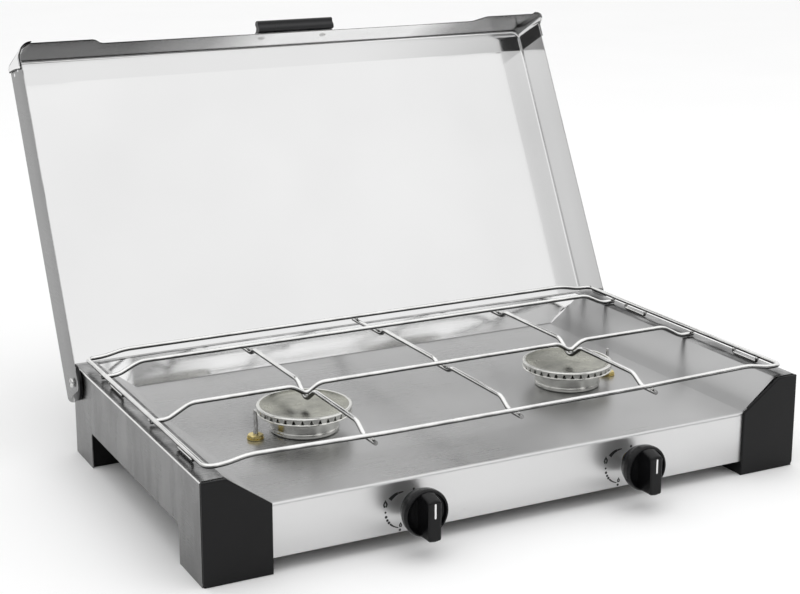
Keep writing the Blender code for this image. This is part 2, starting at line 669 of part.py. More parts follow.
def make_knob(name, parent, plastic):
    """A round skirt with a raised bar to grip, made about local -Y and bored for its spindle."""
    skirt = [(0.0, KNOB_SKIRT), (KNOB_R - 0.004, KNOB_SKIRT), (KNOB_R - 0.0012, KNOB_SKIRT - 0.001),
             (KNOB_R, KNOB_SKIRT - 0.003), (KNOB_R, 0.0010), (KNOB_R - 0.001, 0.0), (0.0, 0.0)]
    item = turned(name, skirt, plastic, 36, parent, (0, 0, 0), (math.pi / 2, 0, 0))
    reach = KNOB_R - 0.0012
    bar = block((-GRIP_HALF, -reach, 0.012), (GRIP_HALF, reach, KNOB_DEPTH), 0.0015)
    grip = cutter(name + "_bar", bar, parent)
    grip.rotation_euler = (math.pi / 2, 0, 0)
    boolean(item, grip, "UNION")
    bore = cutter(name + "_bore", rod((0, 0.004, 0), (0, -0.0125, 0), SPINDLE_R + GAP), parent)
    boolean(item, bore)
    return item


def make_gas_line(brass, steel):
    """The pipe under the taps, the elbow to the rear and the threaded hose nipple."""
    path = [(-KNOB_X - 0.016, MANIFOLD_Y, MANIFOLD_Z), (INLET_X, MANIFOLD_Y, MANIFOLD_Z),
            (INLET_X, MANIFOLD_Y + 0.03, MANIFOLD_Z),
            (INLET_X, 0.10, MANIFOLD_Z + 0.001), (INLET_X, 0.130, INLET_Z),
            (INLET_X, DEPTH / 2 - 0.0125, INLET_Z)]
    wire("gas_pipe", softened(path, 0.016, 3), PIPE_R, steel)
    at = (INLET_X, DEPTH / 2, INLET_Z)
    nut = hexagon(0.0085, -0.0120, -SHEET - GAP, INLET_HOLE_R)
    turn = Matrix.Rotation(-math.pi / 2, 4, "X")
    nut.transform(Matrix.Translation(at) @ turn)
    place("inlet_nut", mesh_from(nut, "inlet_nut"), brass)
    barb = [(0.0030, 0.0290), (0.0042, 0.0280), (0.0052, 0.0235), (0.0042, 0.0232), (0.0052, 0.0180),
            (0.0042, 0.0177), (0.0052, 0.0125), (0.0042, 0.0122), (0.0042, 0.0090), (0.0078, 0.0086),
            (0.0078, GAP), (0.0058, GAP), (0.0058, -0.0118), (0.0022, -0.0118), (0.0022, 0.0290)]
    turned("hose_nipple", barb, brass, 12, None, at, (-math.pi / 2, 0, 0))


# ---- assembly ------------------------------------------------------------------------------------
def build():
    clear_scene()
    steel = make_material("brushed_steel", (0.56, 0.56, 0.55), 1.0, 0.32)
    bright = make_material("bright_wire", (0.72, 0.72, 0.72), 1.0, 0.15)
    spun = make_material("spun_steel", (0.60, 0.60, 0.57), 1.0, 0.25)
    black = make_material("black_plastic", (0.012, 0.012, 0.013), 0.0, 0.45)
    brass = make_material("brass", (0.70, 0.55, 0.22), 1.0, 0.30)

    make_hob_top(steel)
    make_rear_panel(steel)
    for name, side in SIDES:
        make_side_panel("side_panel_" + name, side, steel)
        make_corner_cap("corner_cap_" + name, side, black)
        make_rear_foot("rear_foot_" + name, side, black)
        make_hinge(name, side, bright, black)
        make_burner(name, side, spun, brass)
        make_mixing_tube(name, side, steel)
        make_valve(name, side, brass)
        make_control(name, side, black, bright)
        make_burner_bar("grate_bar_" + name, side * BURNER_X, bright)
        for end, y in FEET_Y:
            make_grate_foot(f"grate_foot_{end}_{name}", side, y, bright)
    make_gas_line(brass, steel)
    make_grate_frame(bright)
    make_grate_rail("grate_rail_rear", RAIL_REAR_Y, RAIL_REAR_Z, bright, False)
    make_grate_rail("grate_rail_middle", RAIL_MID_Y, RAIL_MID_Z, bright, True)
    make_centre_bar(bright)

    hinge = make_empty("lid_axis", (0, HINGE_Y, HINGE_Z), (-LID_LEAN, 0, 0))
    turn_in = make_empty("lid_frame", (0, 0, 0), (0, 0, math.pi), hinge)
    make_lid_pan(turn_in, steel)
    make_lid_handle(turn_in, black)
    for name, side in SIDES:
        make_rivet("lid_rivet_" + name, -side * RIVET_X, turn_in, bright)


def centre_on_box():
    """Hangs the whole stove on one empty and slides that along Y to the middle of the stove's box."""
    root = make_empty("stove_origin", (0, 0, 0))
    for item in list(bpy.data.objects):
        if item.parent is None and item is not root:
            item.parent = root
    bpy.context.view_layer.update()
    depsgraph = bpy.context.evaluated_depsgraph_get()
    depths = []
    for item in bpy.data.collections[PARTS].objects:
        if item.type == "EMPTY":
            continue
        shape = item.evaluated_get(depsgraph)
        mesh = shape.to_mesh()
        depths += [(shape.matrix_world @ vertex.co).y for vertex in mesh.vertices]
        shape.to_mesh_clear()
    root.location.y = -(min(depths) + max(depths)) / 2


build()
centre_on_box()
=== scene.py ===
# %% [markdown]
# # A two-burner camp stove in folded steel
# The stove is a pressed steel tray on four legs, with a wire grate, two gas burners, two taps and a lid
# that stands open as a wind shield. A measured frame of it comes in first, and it is never moved.
# This lesson puts the finished surfaces on that frame, one piece at a time.
# The frame already knows which pieces move together, so every new piece is told which body it rides on.

# %% Load the frame
import json
import math

import bmesh
import bpy
from mathutils import Matrix, Vector


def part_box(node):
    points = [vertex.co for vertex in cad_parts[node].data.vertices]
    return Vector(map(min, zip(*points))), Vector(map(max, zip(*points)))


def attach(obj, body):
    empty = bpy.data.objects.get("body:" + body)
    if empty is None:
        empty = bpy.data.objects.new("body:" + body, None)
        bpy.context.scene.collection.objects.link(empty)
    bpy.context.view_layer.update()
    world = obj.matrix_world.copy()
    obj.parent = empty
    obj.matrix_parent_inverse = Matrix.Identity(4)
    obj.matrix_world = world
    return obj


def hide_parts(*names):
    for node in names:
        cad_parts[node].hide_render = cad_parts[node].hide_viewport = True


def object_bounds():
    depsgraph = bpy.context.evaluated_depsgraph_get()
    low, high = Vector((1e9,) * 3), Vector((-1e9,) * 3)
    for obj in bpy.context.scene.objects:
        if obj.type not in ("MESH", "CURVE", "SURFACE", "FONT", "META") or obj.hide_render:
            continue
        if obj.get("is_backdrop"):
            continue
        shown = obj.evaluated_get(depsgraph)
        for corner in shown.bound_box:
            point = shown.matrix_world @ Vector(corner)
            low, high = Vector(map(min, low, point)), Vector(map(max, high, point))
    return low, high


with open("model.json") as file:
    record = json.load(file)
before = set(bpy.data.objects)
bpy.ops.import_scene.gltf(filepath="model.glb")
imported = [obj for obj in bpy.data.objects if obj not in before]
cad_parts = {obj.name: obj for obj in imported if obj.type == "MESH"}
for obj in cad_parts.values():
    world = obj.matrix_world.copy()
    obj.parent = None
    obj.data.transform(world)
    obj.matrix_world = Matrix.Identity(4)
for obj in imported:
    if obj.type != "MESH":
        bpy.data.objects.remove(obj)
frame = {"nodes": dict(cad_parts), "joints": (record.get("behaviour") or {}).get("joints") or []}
cad_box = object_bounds()
joints = {joint["name"]: joint for joint in frame["joints"]}
SIDES = (("left", -1), ("right", 1))
print("size in mm:", [round(1000 * (high - low)) for low, high in zip(*cad_box)])

# %% [markdown]
# ## The camera
# A product picture of a stove is taken from a little above, at the front left corner, so that the tray,
# the front and one side all show. A long lens keeps the far corner nearly as large as the near one.
# The camera is built from a heading and a pitch, as on a tripod, because those are easy to reason about.

# %% Set the camera
HEADING = math.radians(25.65)      # turned to the right of straight ahead
PITCH = math.radians(13.31)        # looking down
ROLL = math.radians(-0.47)
camera_data = bpy.data.cameras.new("camera")
camera_data.lens = 73.16
camera_data.sensor_width = 36.0
camera_data.shift_x = 0.072
camera_data.shift_y = -0.077
camera_data.clip_start = 0.05
camera = bpy.data.objects.new("camera", camera_data)
camera.matrix_world = (Matrix.Translation((-0.6692, -1.2766, 0.5354))
                       @ Matrix.Rotation(-HEADING, 4, "Z")
                       @ Matrix.Rotation(math.pi / 2 - PITCH, 4, "X")
                       @ Matrix.Rotation(ROLL, 4, "Z"))
bpy.context.scene.collection.objects.link(camera)
bpy.context.scene.camera = camera
bpy.context.scene.view_settings.view_transform = "Standard"
print("camera stands at", tuple(round(value, 3) for value in camera.matrix_world.translation))

# %% [markdown]
# ## Nodes with less typing
# A material is a small graph of nodes. Two helpers keep the graphs short: one adds a node and fills in
# its sockets by name, and the other makes a noise that is stretched along the axes.
# Everything is read from the object's own coordinates, so the grain stays on a piece when it moves.

# %% Node helpers
def add(tree, kind, **values):
    """Adds a node. Names with a capital are sockets, the others are settings; a socket value may be a link."""
    node = tree.nodes.new(kind)
    for name, value in values.items():
        if name[0].islower():
            setattr(node, name, value)
            continue
        socket = node.inputs[name.replace("_", " ")]
        if isinstance(value, bpy.types.NodeSocket):
            tree.links.new(value, socket)
        else:
            socket.default_value = value
    return node


def place_of(tree):
    return add(tree, "ShaderNodeTexCoord").outputs["Object"]


def noise(tree, stretch, detail=3.0, roughness=0.55, where=None):
    """Noise read from the object's coordinates, with stretch features a metre along X, Y and Z."""
    at = where or place_of(tree)
    mapped = add(tree, "ShaderNodeMapping", Vector=at, Scale=stretch)
    texture = add(tree, "ShaderNodeTexNoise", Vector=mapped.outputs["Vector"], Scale=1.0, Detail=detail,
                  Roughness=roughness)
    return texture.outputs["Fac"]


def ranged(tree, value, low, high, start=0.3, stop=0.7):
    node = add(tree, "ShaderNodeMapRange", Value=value, From_Min=start, From_Max=stop, To_Min=low,
               To_Max=high)
    return node.outputs["Result"]


def maths(tree, operation, one, two):
    node = add(tree, "ShaderNodeMath", operation=operation)
    for socket, value in zip(node.inputs, (one, two)):
        if isinstance(value, bpy.types.NodeSocket):
            tree.links.new(value, socket)
        else:
            socket.default_value = value
    return node.outputs[0]


def shades(tree, value, stops):
    """A colour ramp from (position, colour) stops."""
    node = add(tree, "ShaderNodeValToRGB", Fac=value)
    ramp = node.color_ramp
    for element, (position, colour) in zip(ramp.elements, (stops[0], stops[-1])):
        element.position = position
        element.color = (*colour, 1.0)
    for position, colour in stops[1:-1]:
        element = ramp.elements.new(position)
        element.color = (*colour, 1.0)
    return node.outputs["Color"]


def raise_grain(tree, shader, height, distance, strength=1.0):
    bump = add(tree, "ShaderNodeBump", Height=height, Distance=distance, Strength=strength)
    tree.links.new(bump.outputs["Normal"], shader.inputs["Normal"])


def new_finish(name, **values):
    """A material with its Principled shader; the values are the same all over the surface."""
    material = bpy.data.materials.new(name)
    material.use_nodes = True
    tree = material.node_tree
    shader = tree.nodes["Principled BSDF"]
    for socket, value in values.items():
        shader.inputs[socket.replace("_", " ")].default_value = value
    return material, tree, shader


def scaled(colour, factor):
    return tuple(min(1.0, channel * factor) for channel in colour)


print("node helpers are ready")

# %% [markdown]
# ## Brushed steel
# Stainless sheet is polished with a belt, which leaves fine scratches all one way. They blur what the
# sheet reflects across the scratches and leave it sharper along them.
# Three things make that finish: a noise stretched long along the grain for the scratches, an anisotropic
# shader for the one-way blur, and a broad faint cloudiness where hands and rags have been.

# %% Brushed steel finishes
def across_grain(tree, shader):
    direction = add(tree, "ShaderNodeTangent", direction_type="UV_MAP")
    tree.links.new(direction.outputs["Tangent"], shader.inputs["Tangent"])


def blend(tree, share, one, two, mode="MIX"):
    """Mix two colours by share; each may be a socket or an RGB colour."""
    node = add(tree, "ShaderNodeMix", data_type="RGBA", blend_type=mode)
    for socket, value in zip((node.inputs[0], node.inputs[6], node.inputs[7]), (share, one, two)):
        if isinstance(value, bpy.types.NodeSocket):
            tree.links.new(value, socket)
        else:
            socket.default_value = (*value, 1.0) if isinstance(value, tuple) else value
    return node.outputs[2]


def along(tree, axis):
    return add(tree, "ShaderNodeSeparateXYZ", Vector=place_of(tree)).outputs[axis]


def brushed(name, colour, roughness, grain, anisotropy=0.35, cloud=(5.0, 5.0, 5.0), depth=0.16, waves=0.0,
            wear_and_painted_light=None,
            metallic=1.0, crown=None):
    """Sheet steel. grain is the scratches' frequency along each axis and cloud that of the smudges. depth is
    how much the smudges change the tone, and waves is how far the sheet undulates. worn lists parts of the
    sheet that differ, each as a mask, its colour and its change of roughness. crown adds a slope."""
    material, tree, shader = new_finish(name, Metallic=metallic, Anisotropic=anisotropy)
    scratches = noise(tree, grain, detail=3.0, roughness=0.7)
    smudges = noise(tree, cloud, detail=3.0, roughness=0.5)
    tone = maths(tree, "ADD", ranged(tree, scratches, -0.12, 0.12),
                 ranged(tree, smudges, -1.0, 1.0, 0.28, 0.72))
    base = shades(tree, ranged(tree, tone, 0.0, 1.0, -1.0, 1.0),
                  [(0.0, scaled(colour, 1 - depth)), (0.5, colour), (1.0, scaled(colour, 1 + depth))])
    # Some of these parts are wear, and some are painted light and shade in the colour.
    parts = wear_and_painted_light(tree) if wear_and_painted_light else []
    for mask, patch, _ in parts:
        base = blend(tree, mask, base, patch)
    tree.links.new(base, shader.inputs["Base Color"])
    blur = maths(tree, "ADD", ranged(tree, scratches, roughness - 0.02, roughness + 0.03),
                 ranged(tree, smudges, -0.04, 0.04))
    for mask, _, change in parts:
        blur = maths(tree, "ADD", blur, maths(tree, "MULTIPLY", mask, change))
    tree.links.new(blur, shader.inputs["Roughness"])
    height = maths(tree, "MULTIPLY", scratches, 0.25)
    if waves:
        slow = noise(tree, (6.0, 6.0, 6.0), detail=1.0)
        height = maths(tree, "ADD", height, maths(tree, "MULTIPLY", slow, waves))
    if crown:
        height = maths(tree, "ADD", height, crown(tree))
    raise_grain(tree, shader, height, 0.00002)
    across_grain(tree, shader)
    return material


def tray_wear_and_painted_light(tree):
    """The front and the rear wall are painted lighter, as painted reflection, and the rear wall is also
    smoother. The ledges, where the grate rubs, are duller.
    """
    back, up = along(tree, "Y"), along(tree, "Z")
    front_painted_light = ranged(tree, back, 1.0, 0.0, -0.2183, -0.2173)
    rear_wall_painted_reflection = maths(tree, "MULTIPLY", ranged(tree, back, 0.0, 1.0, 0.0880, 0.0890),
                      ranged(tree, up, 0.0, 1.0, 0.0572, 0.0580))
    ledge = ranged(tree, up, 0.0, 1.0, 0.0832, 0.0838)
    rubbed = shades(tree, noise(tree, (60.0, 25.0, 60.0), detail=4.0),
                    [(0.35, (0.10, 0.10, 0.10)), (0.5, (0.20, 0.20, 0.20)), (0.68, (0.40, 0.40, 0.40))])
    return [(front_painted_light, (0.70, 0.70, 0.70), 0.03), (rear_wall_painted_reflection, (0.99, 0.99, 0.99), -0.20),
            (ledge, rubbed, -0.03)]


def fold_painted_highlight(tree):
    """The fold along the top of a side panel is painted lighter, a painted highlight, and is a little
    smoother.
    """
    return [(ranged(tree, along(tree, "Z"), 0.0, 1.0, 0.0829, 0.0833), (0.88, 0.88, 0.87), -0.08)]


# The open lid's own directions: away from its hinge, and into the pan.
LEAN = math.radians(27.0)
LID_LENGTH = 0.319               # hinge axis to the front bend
LID_OFFSET = 0.0305              # axis to the inside of the panel
axle = Vector(joints["lid_hinge"]["pos_m"])


def lid_way(tree, direction):
    """How far a point is from the hinge axis, measured along one of the lid's directions."""
    offset = add(tree, "ShaderNodeVectorMath", operation="SUBTRACT")
    tree.links.new(place_of(tree), offset.inputs[0])
    offset.inputs[1].default_value = axle
    dot = add(tree, "ShaderNodeVectorMath", operation="DOT_PRODUCT")
    tree.links.new(offset.outputs[0], dot.inputs[0])
    dot.inputs[1].default_value = direction
    return dot.outputs["Value"]


def lid_skirt_painted_shade_and_light(tree):
    """The front skirt is painted dark at its ends and light round the handle, as painted shade and painted
    reflection, and the skirt is rougher.
    """
    away = lid_way(tree, (0.0, math.sin(LEAN), math.cos(LEAN)))
    into = lid_way(tree, (0.0, -math.cos(LEAN), math.sin(LEAN)))
    skirt = maths(tree, "MULTIPLY", ranged(tree, away, 0.0, 1.0, LID_LENGTH - 0.0065, LID_LENGTH - 0.0055),
                  ranged(tree, into, 0.0, 1.0, 0.0015 - LID_OFFSET, 0.003 - LID_OFFSET))
    across = along(tree, "X")
    painted_shade = maths(tree, "ADD", ranged(tree, across, 1.0, 0.0, -0.17, -0.02),
                  ranged(tree, across, 0.0, 0.7, 0.14, 0.22))
    tone = shades(tree, painted_shade, [(0.0, (0.95, 0.95, 0.95)), (0.45, (0.30, 0.30, 0.30)),
                                (1.0, (0.035, 0.035, 0.035))])
    return [(skirt, tone, 0.12)]


def outer_panel(tree):
    """Outside, the panel is lighter than the skirts, whose darker colour is painted shade."""
    into = lid_way(tree, (0.0, -math.cos(LEAN), math.sin(LEAN)))
    return [(ranged(tree, into, 1.0, 0.0, -0.0004 - LID_OFFSET, 0.002 - LID_OFFSET), (0.55, 0.55, 0.545),
             0.0)]


def front_crown(tree):
    """The panel rises a little towards the front bend. The slope is in units of the grain's height."""
    away = lid_way(tree, (0.0, math.sin(LEAN), math.cos(LEAN)))
    return ranged(tree, away, 0.0, CROWN_RISE, LID_LENGTH - CROWN_WIDTH, LID_LENGTH)


CROWN_WIDTH = 0.024
CROWN_RISE = 210.0
ALONG_X = (12.0, 1400.0, 1400.0)
ALONG_Y = (1400.0, 12.0, 1400.0)
tray_steel = brushed("tray_steel", (0.44, 0.44, 0.44), 0.29, ALONG_X, cloud=(7.0, 7.0, 7.0), depth=0.13,
                     waves=20.0,
                     wear_and_painted_light=tray_wear_and_painted_light, metallic=0.86)
lid_steel = brushed("lid_steel", (0.82, 0.82, 0.82), 0.11, ALONG_X, cloud=(3.5, 3.5, 3.5), depth=0.05,
                    waves=12.0,
                    wear_and_painted_light=lid_skirt_painted_shade_and_light, crown=front_crown)
# The lid's outside takes a much darker colour than its inside: painted shade.
skirt_steel_painted_shade = brushed("skirt_steel_painted_shade", (0.21, 0.21, 0.21), 0.26, ALONG_Y, cloud=(14.0, 14.0, 14.0), depth=0.18,
                      wear_and_painted_light=outer_panel)
# The side panels are painted much darker than the tray's sheet: painted shade.
side_steel_painted_shade = brushed("side_steel_painted_shade", (0.165, 0.165, 0.165), 0.26, ALONG_Y, cloud=(30.0, 42.0, 13.0), depth=0.42,
                     waves=30.0,
                     wear_and_painted_light=fold_painted_highlight)
rear_steel = brushed("rear_steel", (0.50, 0.50, 0.495), 0.30, ALONG_X, cloud=(12.0, 12.0, 12.0), waves=18.0)
print("brushed finishes:", tray_steel.name, lid_steel.name, skirt_steel_painted_shade.name, side_steel_painted_shade.name,
      rear_steel.name)

# %% [markdown]
# ## Turned and plated metal
# The burners are spun on a lathe, so their scratches are rings about the burner's own axis. The distance
# from that axis drives the noise. The grate is drawn wire with bright plating, which shows faint
# clouds and painted shade on its undersides, and the brass parts are turned and a little tarnished.

# %% Spun steel, plated wire, brass
def spun(name, centre, colour, roughness, rim=None):
    """Lathe-turned metal about an upright axis. rim is the radius from which the colour is lighter."""
    material, tree, shader = new_finish(name, Metallic=1.0, Anisotropic=0.5)
    away = add(tree, "ShaderNodeVectorMath", operation="SUBTRACT")
    tree.links.new(place_of(tree), away.inputs[0])
    away.inputs[1].default_value = centre
    split = add(tree, "ShaderNodeSeparateXYZ", Vector=away.outputs[0])
    flat = add(tree, "ShaderNodeCombineXYZ", X=split.outputs["X"], Y=split.outputs["Y"])
    length = add(tree, "ShaderNodeVectorMath", operation="LENGTH")
    tree.links.new(flat.outputs[0], length.inputs[0])
    radius = length.outputs["Value"]
    ring = add(tree, "ShaderNodeCombineXYZ", X=radius, Z=split.outputs["Z"])
    rings = noise(tree, (1500.0, 1.0, 900.0), detail=3.0, where=ring.outputs[0])
    clouds = noise(tree, (38.0, 38.0, 38.0), detail=4.0)
    base = shades(tree, clouds, [(0.32, scaled(colour, 0.62)), (0.5, colour), (0.68, scaled(colour, 1.35))])
    if rim:
        base = blend(tree, ranged(tree, radius, 0.0, 1.0, rim, rim + 0.0008), base, (0.78, 0.78, 0.75))
    tree.links.new(base, shader.inputs["Base Color"])
    blur = maths(tree, "ADD", ranged(tree, rings, roughness - 0.04, roughness + 0.05),
                 ranged(tree, clouds, -0.05, 0.06))
    tree.links.new(blur, shader.inputs["Roughness"])
    raise_grain(tree, shader, rings, 0.000012)
    across_grain(tree, shader)
    return material


def plated(name, colour, roughness, grain=420.0, painted_underside_shade=0.0):
    """Smooth bright metal. The last argument is how much darker it is on the undersides: painted shade."""
    material, tree, shader = new_finish(name, Metallic=1.0)
    clouds = noise(tree, (60.0, 60.0, 60.0), detail=4.0)
    pits = noise(tree, (grain, grain, grain), detail=2.0)
    base = shades(tree, clouds, [(0.3, scaled(colour, 0.88)), (0.55, colour), (0.75, scaled(colour, 1.06))])
    if painted_underside_shade:
        facing = add(tree, "ShaderNodeSeparateXYZ",
                     Vector=add(tree, "ShaderNodeNewGeometry").outputs["Normal"])
        edge = maths(tree, "ADD", facing.outputs["Z"], ranged(tree, clouds, -0.12, 0.12))
        base = blend(tree, ranged(tree, edge, painted_underside_shade, 0.0, -0.05, 0.42), base, scaled(colour, 0.04))
    tree.links.new(base, shader.inputs["Base Color"])
    tree.links.new(maths(tree, "ADD", ranged(tree, clouds, roughness - 0.04, roughness + 0.05),
                         ranged(tree, pits, 0.0, 0.04)), shader.inputs["Roughness"])
    raise_grain(tree, shader, pits, 0.000015)
    return material


# The wire's undersides get painted shade.
bright_wire = plated("bright_wire", (0.86, 0.86, 0.85), 0.10, painted_underside_shade=0.95)
bright_steel = plated("bright_steel", (0.66, 0.66, 0.65), 0.20)
drawn_tube = plated("drawn_tube", (0.50, 0.50, 0.49), 0.30, grain=900.0)
brass = plated("brass", (0.78, 0.64, 0.27), 0.24, grain=700.0)
print("plated finishes:", bright_wire.name, bright_steel.name, drawn_tube.name, brass.name)

# %% [markdown]
# ## Black plastic
# The corner caps are moulded with a fine spark-eroded grain that scatters light, and the knobs and the
# grip are smoother, with a slight shine. Both are nearly black. The colour comes from one noise and the
# grain from a finer one, so that a highlight breaks up as it does on a real moulding.

# %% Plastics, paint and ink
def moulded(name, colour, roughness, grain, depth, shine=0.4):
    material, tree, shader = new_finish(name, Specular_IOR_Level=shine)
    fine = noise(tree, (grain, grain, grain), detail=2.0, roughness=0.6)
    broad = noise(tree, (28.0, 28.0, 28.0), detail=3.0)
    tree.links.new(shades(tree, broad, [(0.3, scaled(colour, 0.8)), (0.5, colour),
                                        (0.75, scaled(colour, 1.35))]),
                   shader.inputs["Base Color"])
    tree.links.new(maths(tree, "ADD", ranged(tree, broad, roughness - 0.04, roughness + 0.06),
                         ranged(tree, fine, -0.03, 0.03)), shader.inputs["Roughness"])
    raise_grain(tree, shader, fine, depth)
    return material


cap_plastic = moulded("cap_plastic", (0.0055, 0.0055, 0.006), 0.34, 1600.0, 0.00003, shine=0.22)
foot_rubber = moulded("foot_rubber", (0.006, 0.006, 0.006), 0.60, 900.0, 0.00008, shine=0.15)
knob_plastic = moulded("knob_plastic", (0.0045, 0.0045, 0.005), 0.22, 2200.0, 0.00001, shine=0.22)
grip_plastic = moulded("grip_plastic", (0.010, 0.010, 0.011), 0.30, 1500.0, 0.00002)
white_paint = moulded("white_paint", (0.86, 0.86, 0.85), 0.40, 1500.0, 0.00002)
# The same black prints the dial marks and is painted shade in the lid's corner seams.
black_ink_and_seam_shade = moulded("black_ink_and_seam_shade", (0.012, 0.012, 0.012), 0.50, 2500.0, 0.00001)
print("plastics:", cap_plastic.name, foot_rubber.name, knob_plastic.name, grip_plastic.name)

# %% [markdown]
# ## Making pieces
# Each piece is built in world coordinates at rest, then hung on the body it rides on and given its finish in a
# material slot, and the plain pieces of the frame that it stands for are hidden.
# Flat sheet with soft edges needs a Weighted Normal modifier, or the shading of the edge would leak far
# into the flat.

# %% Piece helpers
def mesh_of(bm, name, sharp=40.0):
    bmesh.ops.recalc_face_normals(bm, faces=bm.faces)
    mesh = bpy.data.meshes.new(name)
    bm.to_mesh(mesh)
    bm.free()
    mesh.shade_smooth()
    mesh.set_sharp_from_angle(angle=math.radians(sharp))
    return mesh


def add_piece(name, mesh, finish, body, stands_for=()):
    item = bpy.data.objects.new(name, mesh)
    bpy.context.scene.collection.objects.link(item)
    mesh.materials.clear()
    mesh.materials.append(finish)
    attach(item, body)
    if stands_for:
        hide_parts(*stands_for)
    print(f"{name}: {len(mesh.polygons)} faces, rides on {body}")
    return item


def thicken(item, thickness, offset, outside=None):
    """Give a sheet its thickness; outside is a second finish for the side that is added."""
    modifier = item.modifiers.new("thickness", "SOLIDIFY")
    if outside:
        item.data.materials.append(outside)
        modifier.material_offset = 1
    modifier.thickness = thickness
    modifier.offset = offset
    modifier.use_even_offset = True


def round_edges(item, width, segments=3, angle=30.0):
    modifier = item.modifiers.new("edges", "BEVEL")
    modifier.width = width
    modifier.segments = segments
    modifier.limit_method = "ANGLE"
    modifier.angle_limit = math.radians(angle)
    modifier.harden_normals = False


def even_shading(item):
    modifier = item.modifiers.new("shading", "WEIGHTED_NORMAL")
    modifier.keep_sharp = True
    modifier.weight = 100


def lay_grain(mesh, along):
    """A UV map whose U runs along the grain, which the anisotropic shader follows."""
    along = Vector(along).normalized()
    layer = mesh.uv_layers.new(name="grain")
    for polygon in mesh.polygons:
        across = polygon.normal.cross(along)
        if across.length < 0.1:
            across = Vector((0.31, 0.52, 0.79))
        for index in polygon.loop_indices:
            point = mesh.vertices[mesh.loops[index].vertex_index].co
            layer.data[index].uv = (point.dot(along), point.dot(across.normalized()))


def block(low, high):
    bm = bmesh.new()
    size = Vector(high) - Vector(low)
    centre = (Vector(high) + Vector(low)) / 2
    bmesh.ops.create_cube(bm, size=1.0, matrix=Matrix.Translation(centre) @ Matrix.Diagonal((*size, 1)))
    return bm


def rod(start, end, radius, sides=32):
    run = Vector(end) - Vector(start)
    middle = (Vector(start) + Vector(end)) / 2
    bm = bmesh.new()
    matrix = Matrix.Translation(middle) @ run.to_track_quat("Z", "Y").to_matrix().to_4x4()
    bmesh.ops.create_cone(bm, cap_ends=True, segments=sides, radius1=radius, radius2=radius,
                          depth=run.length, matrix=matrix)
    return bm


def merged(pieces):
    whole = bmesh.new()
    for piece in pieces:
        mesh = bpy.data.meshes.new("part")
        piece.to_mesh(mesh)
        piece.free()
        whole.from_mesh(mesh)
        bpy.data.meshes.remove(mesh)
    return whole


def cut_or_join(mesh, other, operation):
    """Cuts other out of mesh or joins it on, and returns the new mesh."""
    first = bpy.data.objects.new("first", mesh)
    second = bpy.data.objects.new("second", mesh_of(other, "second"))
    for item in (first, second):
        bpy.context.scene.collection.objects.link(item)
    modifier = first.modifiers.new("boolean", "BOOLEAN")
    modifier.operation = operation
    modifier.object = second
    result = bpy.data.meshes.new_from_object(first.evaluated_get(bpy.context.evaluated_depsgraph_get()))
    for item in (first, second):
        bpy.data.objects.remove(item)
    return result


def extruded(outline, offset):
    """A closed solid from a flat outline and the vector that it is drawn out by."""
    bm = bmesh.new()
    bm.faces.new([bm.verts.new(point) for point in outline])
    region = bmesh.ops.extrude_face_region(bm, geom=list(bm.faces))
    moved = [part for part in region["geom"] if isinstance(part, bmesh.types.BMVert)]
    bmesh.ops.translate(bm, verts=moved, vec=offset)
    bmesh.ops.recalc_face_normals(bm, faces=bm.faces)
    return bm


print("piece helpers are ready")

# %% [markdown]
# ## Paths and turned shapes
# Wire is bent over pins, so a path is a few corner points with each corner replaced by a short curve.
# A lathe shape is a profile of radius and height that is carried round an axis. Both are worked out here
# and not with modifiers, because the frame's pieces need their points in world coordinates.

# %% Tubes and lathe work
def bent(points, radius, steps=8, closed=False):
    """The path with each corner replaced by a curve that starts radius before it."""
    path = [Vector(point) for point in points]
    count = len(path)
    result = []
    for index, corner in enumerate(path):
        if not closed and index in (0, count - 1):
            result.append(corner)
            continue
        back = path[index - 1] - corner
        ahead = path[(index + 1) % count] - corner
        reach = min(radius, back.length * 0.48, ahead.length * 0.48)
        start = corner + back.normalized() * reach
        end = corner + ahead.normalized() * reach
        for step in range(steps + 1):
            t = step / steps
            result.append(start * (1 - t) ** 2 + corner * 2 * t * (1 - t) + end * t ** 2)
    return result


def tube(name, points, radius, closed=False):
    """A round wire along the points as a closed mesh."""
    curve = bpy.data.curves.new(name, "CURVE")
    curve.dimensions = "3D"
    curve.bevel_depth = radius
    curve.bevel_resolution = 6
    curve.use_fill_caps = not closed
    spline = curve.splines.new("POLY")
    spline.points.add(len(points) - 1)
    for target, point in zip(spline.points, points):
        target.co = (*point, 1.0)
    spline.use_cyclic_u = closed
    item = bpy.data.objects.new(name, curve)
    mesh = bpy.data.meshes.new_from_object(item)
    bpy.data.objects.remove(item)
    bpy.data.curves.remove(curve)
    bm = bmesh.new()
    bm.from_mesh(mesh)
    bpy.data.meshes.remove(mesh)
    bmesh.ops.remove_doubles(bm, verts=bm.verts, dist=0.00001)
    return mesh_of(bm, name, sharp=50.0)


def lathe(profile, matrix=None, steps=96, closed=True):
    """Carries a (radius, height) profile round Z. A point on the axis becomes one vertex."""
    bm = bmesh.new()
    rings = []
    for radius, height in profile:
        if radius < 1e-7:
            rings.append([bm.verts.new((0, 0, height))] * steps)
            continue
        rings.append([bm.verts.new((radius * math.cos(math.tau * step / steps),
                                    radius * math.sin(math.tau * step / steps), height))
                      for step in range(steps)])
    pairs = list(zip(rings, rings[1:]))
    if closed and profile[0][0] > 1e-7:
        pairs.append((rings[-1], rings[0]))
    for upper, lower in pairs:
        for step in range(steps):
            after = (step + 1) % steps
            corners = dict.fromkeys((upper[step], upper[after], lower[after], lower[step]))
            if len(corners) > 2:
                bm.faces.new(corners)
    if matrix:
        bm.transform(matrix)
    return bm


